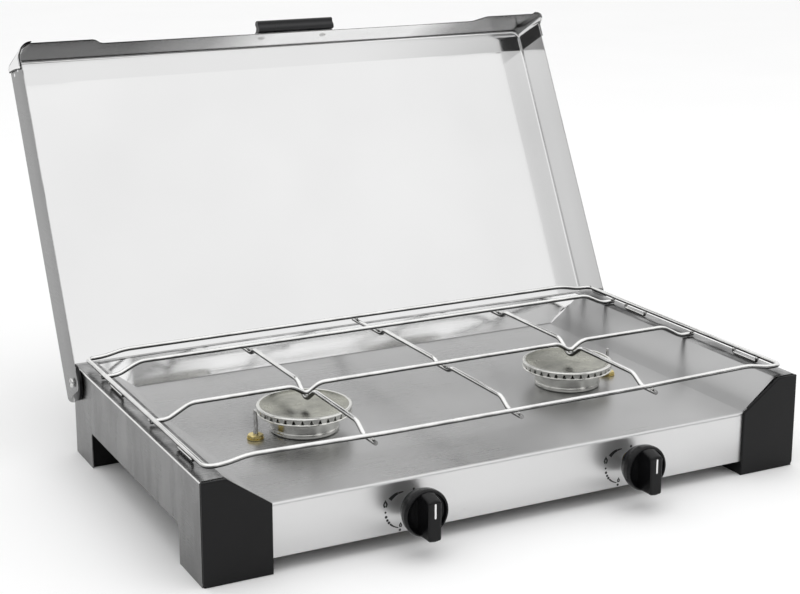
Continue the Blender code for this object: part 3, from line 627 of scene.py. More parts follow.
def lay_rings(mesh, axis_point, axis=(0, 0, 1)):
    """A UV map whose U runs round an axis, so that the shader's blur follows the turning marks."""
    axis = Vector(axis).normalized()
    side = axis.orthogonal().normalized()
    other = axis.cross(side)
    layer = mesh.uv_layers.new(name="grain")
    for polygon in mesh.polygons:
        middle = polygon.center - Vector(axis_point)
        turn = math.atan2(middle.dot(other), middle.dot(side))
        for index in polygon.loop_indices:
            point = mesh.vertices[mesh.loops[index].vertex_index].co - Vector(axis_point)
            height = point.dot(axis)
            radius = (point - axis * height).length
            angle = turn if radius < 1e-6 else math.atan2(point.dot(other), point.dot(side))
            angle = turn + (angle - turn + math.pi) % math.tau - math.pi
            layer.data[index].uv = (angle * 0.03, radius + height)


def rounded_profile(points, radius, steps=4):
    """Softens the inner corners of an open lathe profile."""
    return [(point.x, point.z) for point in bent([(r, 0, z) for r, z in points], radius, steps)]


print("tubes and lathe work are ready")

# %% [markdown]
# ## The tray
# One sheet makes the tray floor, the two sloping sides, the flat ledges, the steep rear wall and the
# front. On the real stove it is pressed and then folded down at the front. Modelling it as one open
# surface keeps the folds in line: a few rows of points, a bevel on the creases for the bend radius,
# and a Solidify for the thickness of the sheet.

# %% Fold the tray
SHEET = 0.0010
LEDGE_X = 0.2595                 # inner edge of the ledges
FLOOR_X = 0.225                  # half width of the floor
FLOOR_Z = 0.057
FOLD = 0.003                     # radius of the fold over the front
hob_low, hob_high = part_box("hob_top")
rim_z = hob_high.z
front_y = hob_low.y
back_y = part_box("rear_panel")[1].y
half_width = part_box("side_panel_right")[1].x
burner_at = {side: (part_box("burner_cup_" + side)[0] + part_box("burner_cup_" + side)[1]) / 2
             for side, _ in SIDES}
knob_at = {side: Vector(joints["turn_" + side]["pos_m"]) for side, _ in SIDES}


def tray_row(y, floor_z):
    outer = hob_high.x
    return [(-outer, y, rim_z), (-LEDGE_X, y, rim_z), (-FLOOR_X, y, floor_z), (FLOOR_X, y, floor_z),
            (LEDGE_X, y, rim_z), (outer, y, rim_z)]


def tray_holes():
    holes = []
    for side, sign in SIDES:
        burner = burner_at[side]
        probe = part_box("flame_probe_" + side)
        probe_middle = (probe[0] + probe[1]) / 2
        holes.append(rod((burner.x, burner.y, FLOOR_Z - 0.01), (burner.x, burner.y, FLOOR_Z + 0.01), 0.012))
        holes.append(rod((probe_middle.x, probe_middle.y, FLOOR_Z - 0.01),
                         (probe_middle.x, probe_middle.y, FLOOR_Z + 0.01), 0.0024))
        knob = knob_at[side]
        holes.append(rod((knob.x, front_y - 0.01, knob.z), (knob.x, front_y + 0.01, knob.z), 0.0062))
    return merged(holes)


def make_tray():
    bm = bmesh.new()
    wall_y = hob_high.y - 0.0067
    rows = [tray_row(front_y + FOLD, FLOOR_Z), tray_row(wall_y - 0.003, FLOOR_Z),
            tray_row(wall_y + 0.003, rim_z),
            tray_row(hob_high.y, rim_z)]
    grid = [[bm.verts.new(point) for point in row] for row in rows]
    for near, far in zip(grid, grid[1:]):
        for column in range(len(near) - 1):
            bm.faces.new((near[column], near[column + 1], far[column + 1], far[column]))
    creases = [edge for edge in bm.edges if len(edge.link_faces) == 2 and edge.calc_face_angle() > 0.2]
    bmesh.ops.bevel(bm, geom=creases, offset=0.0016, segments=5, affect="EDGES", profile=0.5)
    lip = [vertex for vertex in bm.verts
           if abs(vertex.co.y - front_y - FOLD) < 1e-5 and abs(vertex.co.z - FLOOR_Z) < 1e-4]
    chain = sorted(lip, key=lambda vertex: vertex.co.x)
    for step in range(1, 11):
        angle = min(step / 8, 1.0) * math.pi / 2
        y = front_y + FOLD * (1 - math.sin(angle))
        z = FLOOR_Z - FOLD * (1 - math.cos(angle))
        if step == 9:
            y, z = front_y, hob_low.z
        if step == 10:
            y, z = front_y + 0.008, hob_low.z
        following = [bm.verts.new((vertex.co.x, y, z)) for vertex in chain]
        for index in range(len(chain) - 1):
            bm.faces.new((chain[index], chain[index + 1], following[index + 1], following[index]))
        chain = following
    mesh = mesh_of(bm, "tray_sheet", sharp=60.0)
    lay_grain(mesh, (1, 0, 0))
    item = bpy.data.objects.new("sheet", mesh)
    bpy.context.scene.collection.objects.link(item)
    upward = max(mesh.polygons, key=lambda polygon: polygon.area).normal.z > 0
    thicken(item, SHEET, -1.0 if upward else 1.0)
    solid = bpy.data.meshes.new_from_object(item.evaluated_get(bpy.context.evaluated_depsgraph_get()))
    bpy.data.objects.remove(item)
    return cut_or_join(solid, tray_holes(), "DIFFERENCE")


tray = add_piece("tray_sheet", make_tray(), tray_steel, "base", ["hob_top"])
even_shading(tray)

# %% [markdown]
# ## Side panels
# Each side is a flat plate with an arch cut out of its lower edge, so that two legs are left. The upper
# edge is folded over, and a fold always shows as a bright line, so that edge gets a wider rounding
# than the sheared ones. The arch has small radii in its corners, as any punched opening has.

# %% Side panels and rear panel
LEG = 0.048
ARCH_Z = 0.033
ARCH_RADIUS = 0.0025


def arc(centre_y, centre_z, radius, start, stop, steps=5):
    return [(centre_y + radius * math.cos(math.radians(start + (stop - start) * step / steps)),
             centre_z + radius * math.sin(math.radians(start + (stop - start) * step / steps)))
            for step in range(steps + 1)]


def make_side(side, sign):
    low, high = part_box("side_panel_" + side)
    near, far, r = low.y + LEG, high.y - LEG, ARCH_RADIUS
    outline = [(low.y, low.z), (near, low.z)] + arc(near + r, ARCH_Z - r, r, 180, 90)
    outline += arc(far - r, ARCH_Z - r, r, 90, 0) + [(far, low.z), (high.y, low.z), (high.y, high.z),
                                                     (low.y, high.z)]
    outer_x = sign * half_width
    bm = extruded([(outer_x, y, z) for y, z in outline], (-sign * SHEET, 0, 0))
    fold = [edge for edge in bm.edges
            if all(abs(vertex.co.x - outer_x) < 1e-6 and abs(vertex.co.z - high.z) < 1e-6
                   for vertex in edge.verts)]
    bmesh.ops.bevel(bm, geom=fold, offset=0.0009, segments=5, affect="EDGES", profile=0.5)
    mesh = mesh_of(bm, "side_" + side, sharp=60.0)
    lay_grain(mesh, (0, 1, 0))
    item = add_piece("side_" + side, mesh, side_steel_painted_shade, "base", ["side_panel_" + side])
    round_edges(item, 0.00018, 2, 50.0)
    even_shading(item)


for side, sign in SIDES:
    make_side(side, sign)
rear = frame["nodes"]["rear_panel"]
rear.data.materials.clear()
rear.data.materials.append(rear_steel)
print("rear panel keeps its shape and takes", rear_steel.name)

# %% [markdown]
# ## Corner caps and feet
# The front corners are black mouldings. The outline follows the ledge, the slope and the floor of the
# tray, and the moulding goes on down as the foot. It is a flat outline drawn out a little, with a generous
# rounding on the front and a rounder lower corner where it would otherwise catch on a table.

# %% Corner caps and feet
CAP_THICK = 0.0022
CAP_DEEP = 0.045                 # how far the foot goes back


def make_cap(side, sign):
    low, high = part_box("corner_cap_" + side)
    outer, inner = (high.x, low.x) if sign > 0 else (-low.x, -high.x)
    corner = 0.0045
    outline = [(outer, high.z)]
    outline += [(LEDGE_X, high.z), (inner, FLOOR_Z + 0.0005), (inner, 0.0)]
    outline += [(outer - corner + corner * math.sin(math.radians(angle)),
                 corner - corner * math.cos(math.radians(angle)))
                for angle in range(0, 91, 15)]
    back = low.y + CAP_THICK
    bm = extruded([(sign * x, back, z) for x, z in outline], (0, -CAP_THICK, 0))
    face_edges = [edge for edge in bm.edges if all(abs(vertex.co.y - low.y) < 1e-6 for vertex in edge.verts)]
    bmesh.ops.bevel(bm, geom=face_edges, offset=0.0013, segments=4, affect="EDGES", profile=0.5)
    wall = half_width - SHEET - 0.0003
    foot_x = sorted((sign * (inner + 0.0005), sign * wall))
    post_x = sorted((sign * (FLOOR_X + 0.004), sign * wall))
    foot = block((foot_x[0], back - 0.0012, 0.0), (foot_x[1], front_y + CAP_DEEP, hob_low.z - 0.0003))
    post = block((post_x[0], front_y + 0.0013, 0.004), (post_x[1], front_y + CAP_DEEP, ARCH_Z))
    mesh = cut_or_join(mesh_of(bm, "cap"), foot, "UNION")
    mesh = cut_or_join(mesh, post, "UNION")
    mesh.name = "cap_" + side
    mesh.shade_smooth()
    mesh.set_sharp_from_angle(angle=math.radians(40))
    item = add_piece("cap_" + side, mesh, cap_plastic, "base", ["corner_cap_" + side])
    even_shading(item)


def make_foot(side, sign):
    low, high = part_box("rear_foot_" + side)
    bm = block(low, high)
    inner = low.x if sign > 0 else high.x
    upright = [edge for edge in bm.edges
               if all(abs(vertex.co.x - inner) < 1e-6 and vertex.co.y < low.y + 1e-6 for vertex in edge.verts)]
    bmesh.ops.bevel(bm, geom=upright, offset=0.018, segments=16, affect="EDGES", profile=0.5)
    item = add_piece("foot_" + side, mesh_of(bm, "foot_" + side), foot_rubber, "base",
                     ["rear_foot_" + side])
    round_edges(item, 0.0012, 3)
    even_shading(item)


for side, sign in SIDES:
    make_cap(side, sign)
    make_foot(side, sign)

# %% [markdown]
# ## The lid
# The lid is a shallow pan. Its front skirt is deeper at the ends, and wraps round the rounded corners onto
# the side skirts. It is modelled lying in its own frame, with one direction across, one away from the
# hinge and one into the pan, and then leaned back with the hinge. Walking once round the outline
# and giving each point its own skirt depth makes the whole pan from one loop of points.

# %% The lid's frame and outline
LID_TAIL = 0.014                 # behind the axis
LID_SKIRT = 0.044
LID_EAR = 0.013                  # extra depth at the front corners
LID_LIP = 0.0065
LID_BEND = 0.0032
LID_CORNER = 0.010
FRONT_LEAN = 0.05                # how much the front skirt leans inward
EAR_X = 0.212
lid_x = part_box("lid_pan")[1].x - SHEET


def lid_point(x, away, into):
    """A point of the lid: x across, away from the hinge axis, and into the pan from the axis."""
    return Vector((x, axle.y + away * math.sin(LEAN) - into * math.cos(LEAN),
                   axle.z + away * math.cos(LEAN) + into * math.sin(LEAN)))


def lid_corner(x, away, radius, start, stop, depth, steps):
    middle_away = away - math.copysign(radius, away)
    points = []
    for step in range(steps + 1):
        share = step / steps
        angle = math.radians(start + (stop - start) * share)
        out = (math.cos(angle), math.sin(angle))
        points.append((x - radius + radius * out[0], middle_away + radius * out[1], out, depth(share)))
    return points


def eased(share):
    return share * share * (3 - 2 * share)


def lid_outline():
    """Half of the outline: (x, away, outward direction, skirt depth), from the middle of the front round."""
    points = [(x, LID_LENGTH, (0, 1), LID_SKIRT) for x in (0.04, 0.09, 0.14, 0.18)]
    points += [(EAR_X - 0.010 + 0.014 * share, LID_LENGTH, (0, 1), LID_SKIRT + LID_EAR * eased(share))
               for share in (0.0, 0.25, 0.5, 0.75, 1.0)]
    points += [(0.25, LID_LENGTH, (0, 1), LID_SKIRT + LID_EAR)]
    points += lid_corner(lid_x, LID_LENGTH, LID_CORNER, 90, 0, lambda t: LID_SKIRT + LID_EAR * (1 - t ** 3),
                         12)
    for away in (0.27, 0.20, 0.12, 0.05, 0.012, 0.0, -0.003, -0.006, -0.009):
        depth = LID_SKIRT
        if away < 0:
            depth = LID_OFFSET + math.sqrt(LID_TAIL ** 2 - away ** 2) - 0.0005
        elif away < 0.012:
            depth = LID_SKIRT + 0.0002
        points.append((lid_x, away, (1, 0), depth))
    points += lid_corner(lid_x, -LID_TAIL, 0.005, 0, -90, lambda t: LID_LIP + 0.012 * (1 - t), 8)[1:]
    points += [(x, -LID_TAIL, (0, -1), LID_LIP) for x in (0.2, 0.1)]
    return points


half_outline = lid_outline()
print("half of the lid's outline has", len(half_outline), "points")

# %% [markdown]
# The bend between the panel and the skirts is a quarter circle in eight steps. A narrow ring just
# inside it keeps the panel's shading flat. The panel itself is left perfectly flat; the slight unevenness
# of thin sheet is in the finish, where it bends the reflections and not the shape.

# %% Press the lid
def make_lid():
    mirrored = [(-x, away, (-nx, na), depth) for x, away, (nx, na), depth in reversed(half_outline)]
    outline = half_outline + mirrored
    bm = bmesh.new()
    levels = [(LID_BEND + 0.002, 0.0)]
    levels += [(LID_BEND * (1 - math.sin(angle)), LID_BEND * (1 - math.cos(angle)))
               for angle in (math.pi / 2 * step / 8 for step in range(9))]
    rings = [[bm.verts.new(lid_point(x - out[0] * inset, away - out[1] * inset, -(LID_OFFSET + SHEET) + drop))
              for x, away, out, _ in outline] for inset, drop in levels]
    for share in (0.5, 1.0):
        ring = []
        for x, away, out, depth in outline:
            drop = (depth - LID_BEND) * share
            ring.append(bm.verts.new(lid_point(x, away - FRONT_LEAN * drop * max(out[1], 0.0),
                                               -(LID_OFFSET + SHEET) + LID_BEND + drop)))
        rings.append(ring)
    for upper, lower in zip(rings, rings[1:]):
        for index in range(len(outline)):
            after = (index + 1) % len(outline)
            bm.faces.new((upper[index], upper[after], lower[after], lower[index]))
    panel = bm.faces.new(rings[0])
    bmesh.ops.recalc_face_normals(bm, faces=bm.faces)
    if panel.normal.y > 0:
        bmesh.ops.reverse_faces(bm, faces=bm.faces)
    mesh = bpy.data.meshes.new("lid_sheet")
    bm.to_mesh(mesh)
    bm.free()
    mesh.shade_smooth()
    lay_grain(mesh, (1, 0, 0))
    return mesh


lid = add_piece("lid_sheet", make_lid(), lid_steel, "lid", ["lid_pan"])
thicken(lid, SHEET, 1.0, skirt_steel_painted_shade)
even_shading(lid)

# %% [markdown]
# At each front corner the end of the front skirt wraps round over the side skirt, and inside, a narrow tab
# is spot-welded to it. The tab is a thin strip with two shallow dimples where the welding tips pressed.
# The wrapped end is a second thickness of sheet with a slanted edge, and a thin black strip under its edge is
# painted shade in the seam.

# %% Corner tabs of the lid
def make_tab(side, sign):
    bm = bmesh.new()
    inside = lid_x - 0.0001
    length, thick = 0.015, 0.0005
    near, far = -LID_OFFSET + 0.004, -LID_OFFSET + LID_SKIRT - 0.002
    start = LID_LENGTH - LID_CORNER - 0.001
    columns, rows = 12, 30
    grid = []
    for row in range(rows + 1):
        into = near + (far - near) * row / rows
        line = []
        for column in range(columns + 1):
            away = start - length * column / columns
            dent = sum(math.exp(-((away - start + length / 2) ** 2 + (into - middle) ** 2) / 0.0018 ** 2)
                       for middle in (near + 0.010, near + 0.024))
            line.append(bm.verts.new(lid_point(sign * (inside - thick + 0.0004 * dent), away, into)))
        grid.append(line)
    for one, two in zip(grid, grid[1:]):
        for column in range(columns):
            bm.faces.new((one[column], one[column + 1], two[column + 1], two[column]))
    region = bmesh.ops.extrude_face_region(bm, geom=list(bm.faces))
    moved = [part for part in region["geom"] if isinstance(part, bmesh.types.BMVert)]
    bmesh.ops.translate(bm, verts=moved, vec=(sign * thick * 0.9, 0, 0))
    mesh = mesh_of(bm, "lid_tab_" + side)
    lay_grain(mesh, (1, 0, 0))
    add_piece("lid_tab_" + side, mesh, lid_steel, "lid")


def make_wrap(side, sign):
    """The end of the front skirt, bent round the corner over the side skirt; its edge slants."""
    outer = LID_CORNER + SHEET + 0.0002
    rows, turn_steps, run_steps = 10, 14, 5
    top = -(LID_OFFSET + SHEET) + LID_BEND

    def line(depth_share):
        end = 0.0012 + 0.0110 * depth_share ** 1.3
        spots = [(lid_x - LID_CORNER + outer * math.cos(angle),
                  LID_LENGTH - LID_CORNER + outer * math.sin(angle),
                  1 - angle / (math.pi / 2))
                 for angle in (math.pi / 2 * (1 - step / turn_steps) for step in range(turn_steps + 1))]
        spots += [(lid_x - LID_CORNER + outer, LID_LENGTH - LID_CORNER - end * step / run_steps, 1.0)
                  for step in range(1, run_steps + 1)]
        points = []
        for x, away, share in spots:
            drop = (LID_SKIRT + LID_EAR * (1 - share ** 3) - LID_BEND) * depth_share
            points.append((sign * x, away - FRONT_LEAN * drop * math.cos(share * math.pi / 2), top + drop))
        return points

    bm = bmesh.new()
    grid = [[bm.verts.new(lid_point(*point)) for point in line(row / rows)] for row in range(rows + 1)]
    for one, two in zip(grid, grid[1:]):
        for column in range(len(one) - 1):
            bm.faces.new((one[column], one[column + 1], two[column + 1], two[column]))
    mesh = mesh_of(bm, "lid_wrap_" + side, sharp=60.0)
    lay_grain(mesh, (0, 1, 0))
    item = add_piece("lid_wrap_" + side, mesh, lid_steel, "lid")
    outward = max(mesh.polygons, key=lambda polygon: abs(polygon.normal.x)).normal.x * sign > 0
    thicken(item, 0.0006, 1.0 if outward else -1.0)
    # A thin black strip along the wrap's edge: painted shade in the seam.
    seam = bmesh.new()
    strip = []
    for row in range(rows + 1):
        x, away, into = line(row / rows)[-1]
        strip.append([seam.verts.new(lid_point(x + sign * lift, away - back, into))
                      for lift, back in ((0.00035, 0.0), (0.0001, 0.0012))])
    for one, two in zip(strip, strip[1:]):
        seam.faces.new((one[0], one[1], two[1], two[0]))
    region = bmesh.ops.extrude_face_region(seam, geom=list(seam.faces))
    bmesh.ops.translate(seam, verts=[part for part in region["geom"] if isinstance(part, bmesh.types.BMVert)],
                        vec=(-sign * 0.0004, 0, 0))
    add_piece("lid_seam_shade_" + side, mesh_of(seam, "lid_seam_shade_" + side), black_ink_and_seam_shade, "lid")


for side, sign in SIDES:
    make_tab(side, sign)
    make_wrap(side, sign)

# %% [markdown]
# ## The grip and its rivets
# The grip is a length of black plastic section, hollowed along its face for a finger. Any extrusion is one
# outline drawn out, so the section is drawn with its curves and pulled across the lid. Two rivets hold it
# through the front skirt, and their heads are the two small discs inside the lid.

# %% Grip and rivets
def leaned(into):
    """How far the front skirt has leaned in at this depth."""
    return FRONT_LEAN * (into + LID_OFFSET + SHEET - LID_BEND)


def grip_section():
    """The section as (into the lid, away from the hinge), outside the front skirt."""
    edge = -LID_OFFSET + LID_SKIRT
    base = LID_LENGTH + SHEET + 0.0003
    rough = [(edge - 0.024, 0.0), (edge - 0.024, 0.0022), (edge - 0.0085, 0.0026), (edge - 0.0052, 0.0058),
             (edge - 0.0068, 0.0095), (edge - 0.0048, 0.0121), (edge - 0.0004, 0.0121),
             (edge + 0.0018, 0.0102),
             (edge + 0.0006, 0.0070), (edge + 0.0021, 0.0034), (edge + 0.0010, 0.0)]
    return [(point.x, base + point.y - leaned(point.x))
            for point in bent([(into, away, 0) for into, away in rough], 0.0014, 4, closed=True)]


def make_grip():
    low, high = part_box("lid_handle")
    outline = [lid_point(low.x, away, into) for into, away in grip_section()]
    bm = extruded(outline, (high.x - low.x, 0, 0))
    item = add_piece("lid_grip", mesh_of(bm, "lid_grip", sharp=50.0), grip_plastic, "lid",
                     ["lid_handle"])
    round_edges(item, 0.0004, 3, 60.0)
    even_shading(item)


def make_rivet(side):
    low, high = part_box("lid_rivet_" + side)
    centre = (low + high) / 2
    profile = rounded_profile([(0, 0.0020), (0.0030, 0.0017), (0.0038, 0.0), (0.0017, 0.0), (0.0017, -0.0036),
                               (0.0030, -0.0036), (0.0024, -0.0046), (0, -0.0048)], 0.0006)
    into = -LID_OFFSET + LID_SKIRT - 0.014
    down = -(lid_point(0, 1, 0) - lid_point(0, 0, 0))
    seat = lid_point(centre.x, LID_LENGTH - 0.0002 - leaned(into), into)
    matrix = Matrix.Translation(seat) @ down.to_track_quat("Z", "Y").to_matrix().to_4x4()
    mesh = mesh_of(lathe(profile, matrix, 40), "rivet_" + side)
    add_piece("rivet_" + side, mesh, bright_steel, "lid", ["lid_rivet_" + side])


make_grip()
for side, _ in SIDES:
    make_rivet(side)

# %% [markdown]
# ## Hinges
# A screw passes through the lid's tail, a black washer and the side panel, and a nut holds it inside.
# The washer keeps steel from scraping on steel. The screw head has a cross recess, cut with two
# small bars, because a plain disc would look like a peg.

# %% Hinges
def make_hinge(side, sign):
    turn = Matrix.Translation(axle) @ Matrix.Rotation(sign * math.pi / 2, 4, "Y")
    washer = [(0.0150, lid_x - 0.0003), (0.0165, lid_x - 0.0010), (0.0165, half_width + 0.0010),
              (0.0150, half_width + 0.0003), (0.0028, half_width + 0.0003), (0.0028, lid_x - 0.0003)]
    add_piece("washer_" + side, mesh_of(lathe(washer, turn), "washer_" + side), cap_plastic, "base",
              ["hinge_spacer_" + side])
    head = lid_x + SHEET + 0.0003
    profile = [(0, head + 0.0026)] + [(0.0044 * math.sin(angle), head + 0.0002 + 0.0024 * math.cos(angle))
                                      for angle in (math.pi / 2 * step / 8 for step in range(1, 9))]
    profile += [(0.0044, head), (0.0024, head), (0.0024, half_width - 0.0090), (0, half_width - 0.0090)]
    mesh = mesh_of(lathe(profile, turn, 48), "screw")
    slots = []
    for quarter in (20, 110):
        bar = block((-0.0023, -0.00045, head + 0.0012), (0.0023, 0.00045, head + 0.004))
        bar.transform(turn @ Matrix.Rotation(math.radians(quarter), 4, "Z"))
        slots.append(bar)
    for slot_bar in slots:
        mesh = cut_or_join(mesh, slot_bar, "DIFFERENCE")
    mesh.name = "screw_" + side
    item = add_piece("screw_" + side, mesh, bright_steel, "base", ["hinge_screw_" + side])
    even_shading(item)


for side, sign in SIDES:
    make_hinge(side, sign)

# %% [markdown]
# ## The pan grate
# The grate is bent wire, spot-welded where the wires cross. The outer wire is low along the sides and
# rises towards the middle; the bars from front to back duck under the front wire, and over each burner
# two wires dip and cross so that even a small pot stands. A path of corner points per wire
# describes it exactly as a wire bender would.

# %% Bend the grate
WIRE = 0.0020
SHOULDER_X = 0.236               # where a wire reaches the top
CORNER_X = 0.256                 # where it starts to rise
OUTER_WIRE = ["grate_frame_" + part for part in ("front", "back", "left", "right")]
low_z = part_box("grate_frame_left")[0].z + WIRE
front_top_z, front_sag_z, back_top_z = 0.0950, 0.0928, 0.0952
bar_top_z = 0.0965
wire_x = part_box("grate_frame_right")[1].x - WIRE
wire_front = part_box("grate_frame_front")[0].y + WIRE
wire_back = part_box("grate_frame_back")[1].y - WIRE
rail_y = {name: (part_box("grate_rail_" + name)[0].y + WIRE) for name in ("rear", "middle")}
rail_z = {name: (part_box("grate_rail_" + name)[1].z - WIRE) for name in ("rear", "middle")}
UNDER = 2 * WIRE + 0.0003        # from a wire down to the one it lies on
cross_z = 0.0905                 # the middle rail over a burner


def grate_wire(name, points, radius, nodes, closed=False, wire_radius=WIRE):
    return add_piece(name, tube(name, bent(points, radius, 8, closed), wire_radius, closed), bright_wire,
                     "base",
                     nodes)


def outer_wire():
    front = [(SHOULDER_X, front_top_z), (CORNER_X, low_z), (wire_x, low_z)]
    front = [(-x, z) for x, z in reversed(front)] + [(-0.12, front_sag_z), (0.12, front_sag_z)] + front
    back = [(wire_x, low_z), (CORNER_X, low_z), (SHOULDER_X, back_top_z)]
    back += [(-x, z) for x, z in reversed(back)]
    return [(x, wire_front, z) for x, z in front] + [(x, wire_back, z) for x, z in back]


def rail(name, dips):
    burner_x, y, top = burner_at["right"].x, rail_y[name], rail_z[name]
    right = [(SHOULDER_X, top), (CORNER_X, low_z - UNDER), (wire_x, low_z - UNDER)]
    if dips:
        right = [(burner_x - 0.013, top), (burner_x - 0.002, cross_z), (burner_x + 0.002, cross_z),
                 (burner_x + 0.013, top)] + right
    return [(-x, y, z) for x, z in reversed(right)] + [(x, y, z) for x, z in right]


def front_end(x):
    low = front_sag_z - UNDER
    return [(x, wire_front + 0.027, bar_top_z), (x, wire_front + 0.014, low), (x, wire_front - 0.0065, low)]


def burner_bar(x):
    rear, cross = rail_z["rear"] - UNDER, cross_z - UNDER
    rear_y, middle_y = rail_y["rear"], rail_y["middle"]
    return [(x, rear_y + 0.009, rear), (x, rear_y - 0.010, rear), (x, rear_y - 0.016, bar_top_z),
            (x, middle_y + 0.018, bar_top_z), (x, middle_y + 0.003, cross), (x, middle_y - 0.003, cross),
            (x, middle_y - 0.018, bar_top_z)] + front_end(x)


def centre_bar():
    back, rear, middle = (z - UNDER for z in (back_top_z, rail_z["rear"], rail_z["middle"]))
    rear_y, middle_y = rail_y["rear"], rail_y["middle"]
    return [(0, wire_back + 0.006, back), (0, wire_back - 0.010, back), (0, rear_y + 0.010, rear),
            (0, rear_y - 0.010, rear), (0, rear_y - 0.016, bar_top_z), (0, middle_y + 0.016, bar_top_z),
            (0, middle_y + 0.010, middle), (0, middle_y - 0.010, middle),
            (0, middle_y - 0.016, bar_top_z)] + front_end(0)


grate_wire("outer_wire", outer_wire(), 0.008, OUTER_WIRE, closed=True)
grate_wire("rear_wire", rail("rear", False), 0.006, ["grate_rail_rear"])
grate_wire("middle_wire", rail("middle", True), 0.005, ["grate_rail_middle"])
grate_wire("centre_wire", centre_bar(), 0.004, ["grate_centre_bar"])
for side, sign in SIDES:
    grate_wire("burner_wire_" + side, burner_bar(burner_at[side].x), 0.004, ["grate_bar_" + side])
    for end in ("front", "rear"):
        node = f"grate_foot_{end}_{side}"
        low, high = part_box(node)
        r = (high.x - low.x) / 2
        x = (low.x + high.x) / 2
        foot = [(x, low.y + r, high.z), (x, low.y + r, low.z + r), (x, high.y - r, low.z + r),
                (x, high.y - r, high.z)]
        grate_wire(f"wire_foot_{end}_{side}", foot, 0.003, [node], wire_radius=r)

# %% [markdown]
# Where two wires are welded a little metal is squeezed out. Each weld is a squashed ball with a few
# shallow lumps, set in the gap between the wires; all of them together are one piece, because they
# are made in one go on the real grate too.

# %% Weld the crossings
def weld_points():
    half = UNDER / 2
    across = (-burner_at["right"].x, 0, burner_at["right"].x)
    points = [Vector((x, wire_front, front_sag_z - half)) for x in across]
    points += [Vector((x, rail_y["rear"], rail_z["rear"] - half)) for x in across]
    points += [Vector((0, rail_y["middle"], rail_z["middle"] - half)),
               Vector((0, wire_back, back_top_z - half))]
    points += [Vector((sign * burner_at["right"].x, rail_y["middle"], cross_z - half)) for _, sign in SIDES]
    points += [Vector((sign * wire_x, y, low_z - half)) for _, sign in SIDES for y in rail_y.values()]
    for side, sign in SIDES:
        for end in ("front", "rear"):
            foot_low, foot_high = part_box(f"grate_foot_{end}_{side}")
            points += [Vector((sign * (wire_x - 0.0008), y, foot_high.z + 0.0002))
                       for y in (foot_low.y + 0.0013, foot_high.y - 0.0013)]
    return points


welds = []
for number, point in enumerate(weld_points()):
    bead = bmesh.new()
    bmesh.ops.create_icosphere(bead, subdivisions=3, radius=0.0019)
    for vertex in bead.verts:
        lump = 1 + 0.10 * math.sin(vertex.co.x * 3100 + number) * math.cos(vertex.co.y * 2700 + 2 * number)
        vertex.co = point + Vector((vertex.co.x, vertex.co.y, vertex.co.z * 0.8)) * lump
    welds.append(bead)
print(len(welds), "welds")
add_piece("grate_welds", mesh_of(merged(welds), "grate_welds"), bright_steel, "base")

# %% [markdown]
# ## The burners
# A burner is three turned pieces: a cup that stands on the tray, a crown whose rim has a row of small
# notches that the flames come out of, and a shallow dished cap. The cup and the cap are lathe profiles.
# The crown is one too, and the notches are wedges cut from its upper rim.

# %% Turn the burners
NOTCHES = 34
cup_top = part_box("burner_cup_left")[1].z
crown_low, crown_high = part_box("burner_crown_left")
cap_low, cap_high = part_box("burner_cap_left")
cup_r, crown_r, cap_r = ((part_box(f"burner_{part}_left")[1].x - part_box(f"burner_{part}_left")[0].x) / 2
                         for part in ("cup", "crown", "cap"))


def cup_profile():
    foot = FLOOR_Z + 0.0003
    rough = [(cup_r, cup_top), (cup_r, cup_top - 0.003), (cup_r - 0.0008, cup_top - 0.0042),
             (cup_r - 0.0008, foot + 0.0045), (cup_r, foot + 0.003), (cup_r - 0.0006, foot), (0.009, foot),
             (0.009, foot + 0.0015), (cup_r - 0.0025, foot + 0.0015), (cup_r - 0.0018, cup_top)]
    return rounded_profile(rough, 0.0010)


def crown_profile():
    low, high = crown_low.z, crown_high.z
    rough = [(crown_r, high), (crown_r, low + 0.0016), (crown_r + 0.0008, low + 0.0012),
             (crown_r + 0.0008, low + 0.0004),
             (crown_r - 0.0030, low - 0.0004), (cup_r - 0.004, low), (cup_r - 0.004, low + 0.0012),
             (crown_r - 0.0032, low + 0.0016), (crown_r - 0.0018, low + 0.0024), (crown_r - 0.0018, high)]
    return rounded_profile(rough, 0.0006, 3)


def cap_profile():
    low, high = cap_low.z, cap_high.z
    rough = [(0, high - 0.0009), (0.012, high - 0.0009), (0.026, high - 0.0010), (0.034, high - 0.0008),
             (cap_r - 0.0030, high - 0.0001),
             (cap_r - 0.0010, high), (cap_r, high - 0.0005), (cap_r, low + 0.0001), (cap_r - 0.0006, low),
             (0, low)]
    return rounded_profile(rough, 0.0009, 4)


def notch_cutters(centre):
    """Wedges, narrow at the top, through the crown's wall."""
    wedges = []
    for index in range(NOTCHES):
        across = ((-0.0015, crown_high.z - 0.0036), (0.0015, crown_high.z - 0.0036),
                  (0.0004, crown_high.z - 0.0004),
                  (-0.0004, crown_high.z - 0.0004))
        wedge = extruded([(crown_r - 0.006, y, z) for y, z in across], (0.010, 0, 0))
        wedge.transform(Matrix.Translation((centre.x, centre.y,
                                            0)) @ Matrix.Rotation(math.tau * index / NOTCHES, 4, "Z"))
        wedges.append(wedge)
    return merged(wedges)


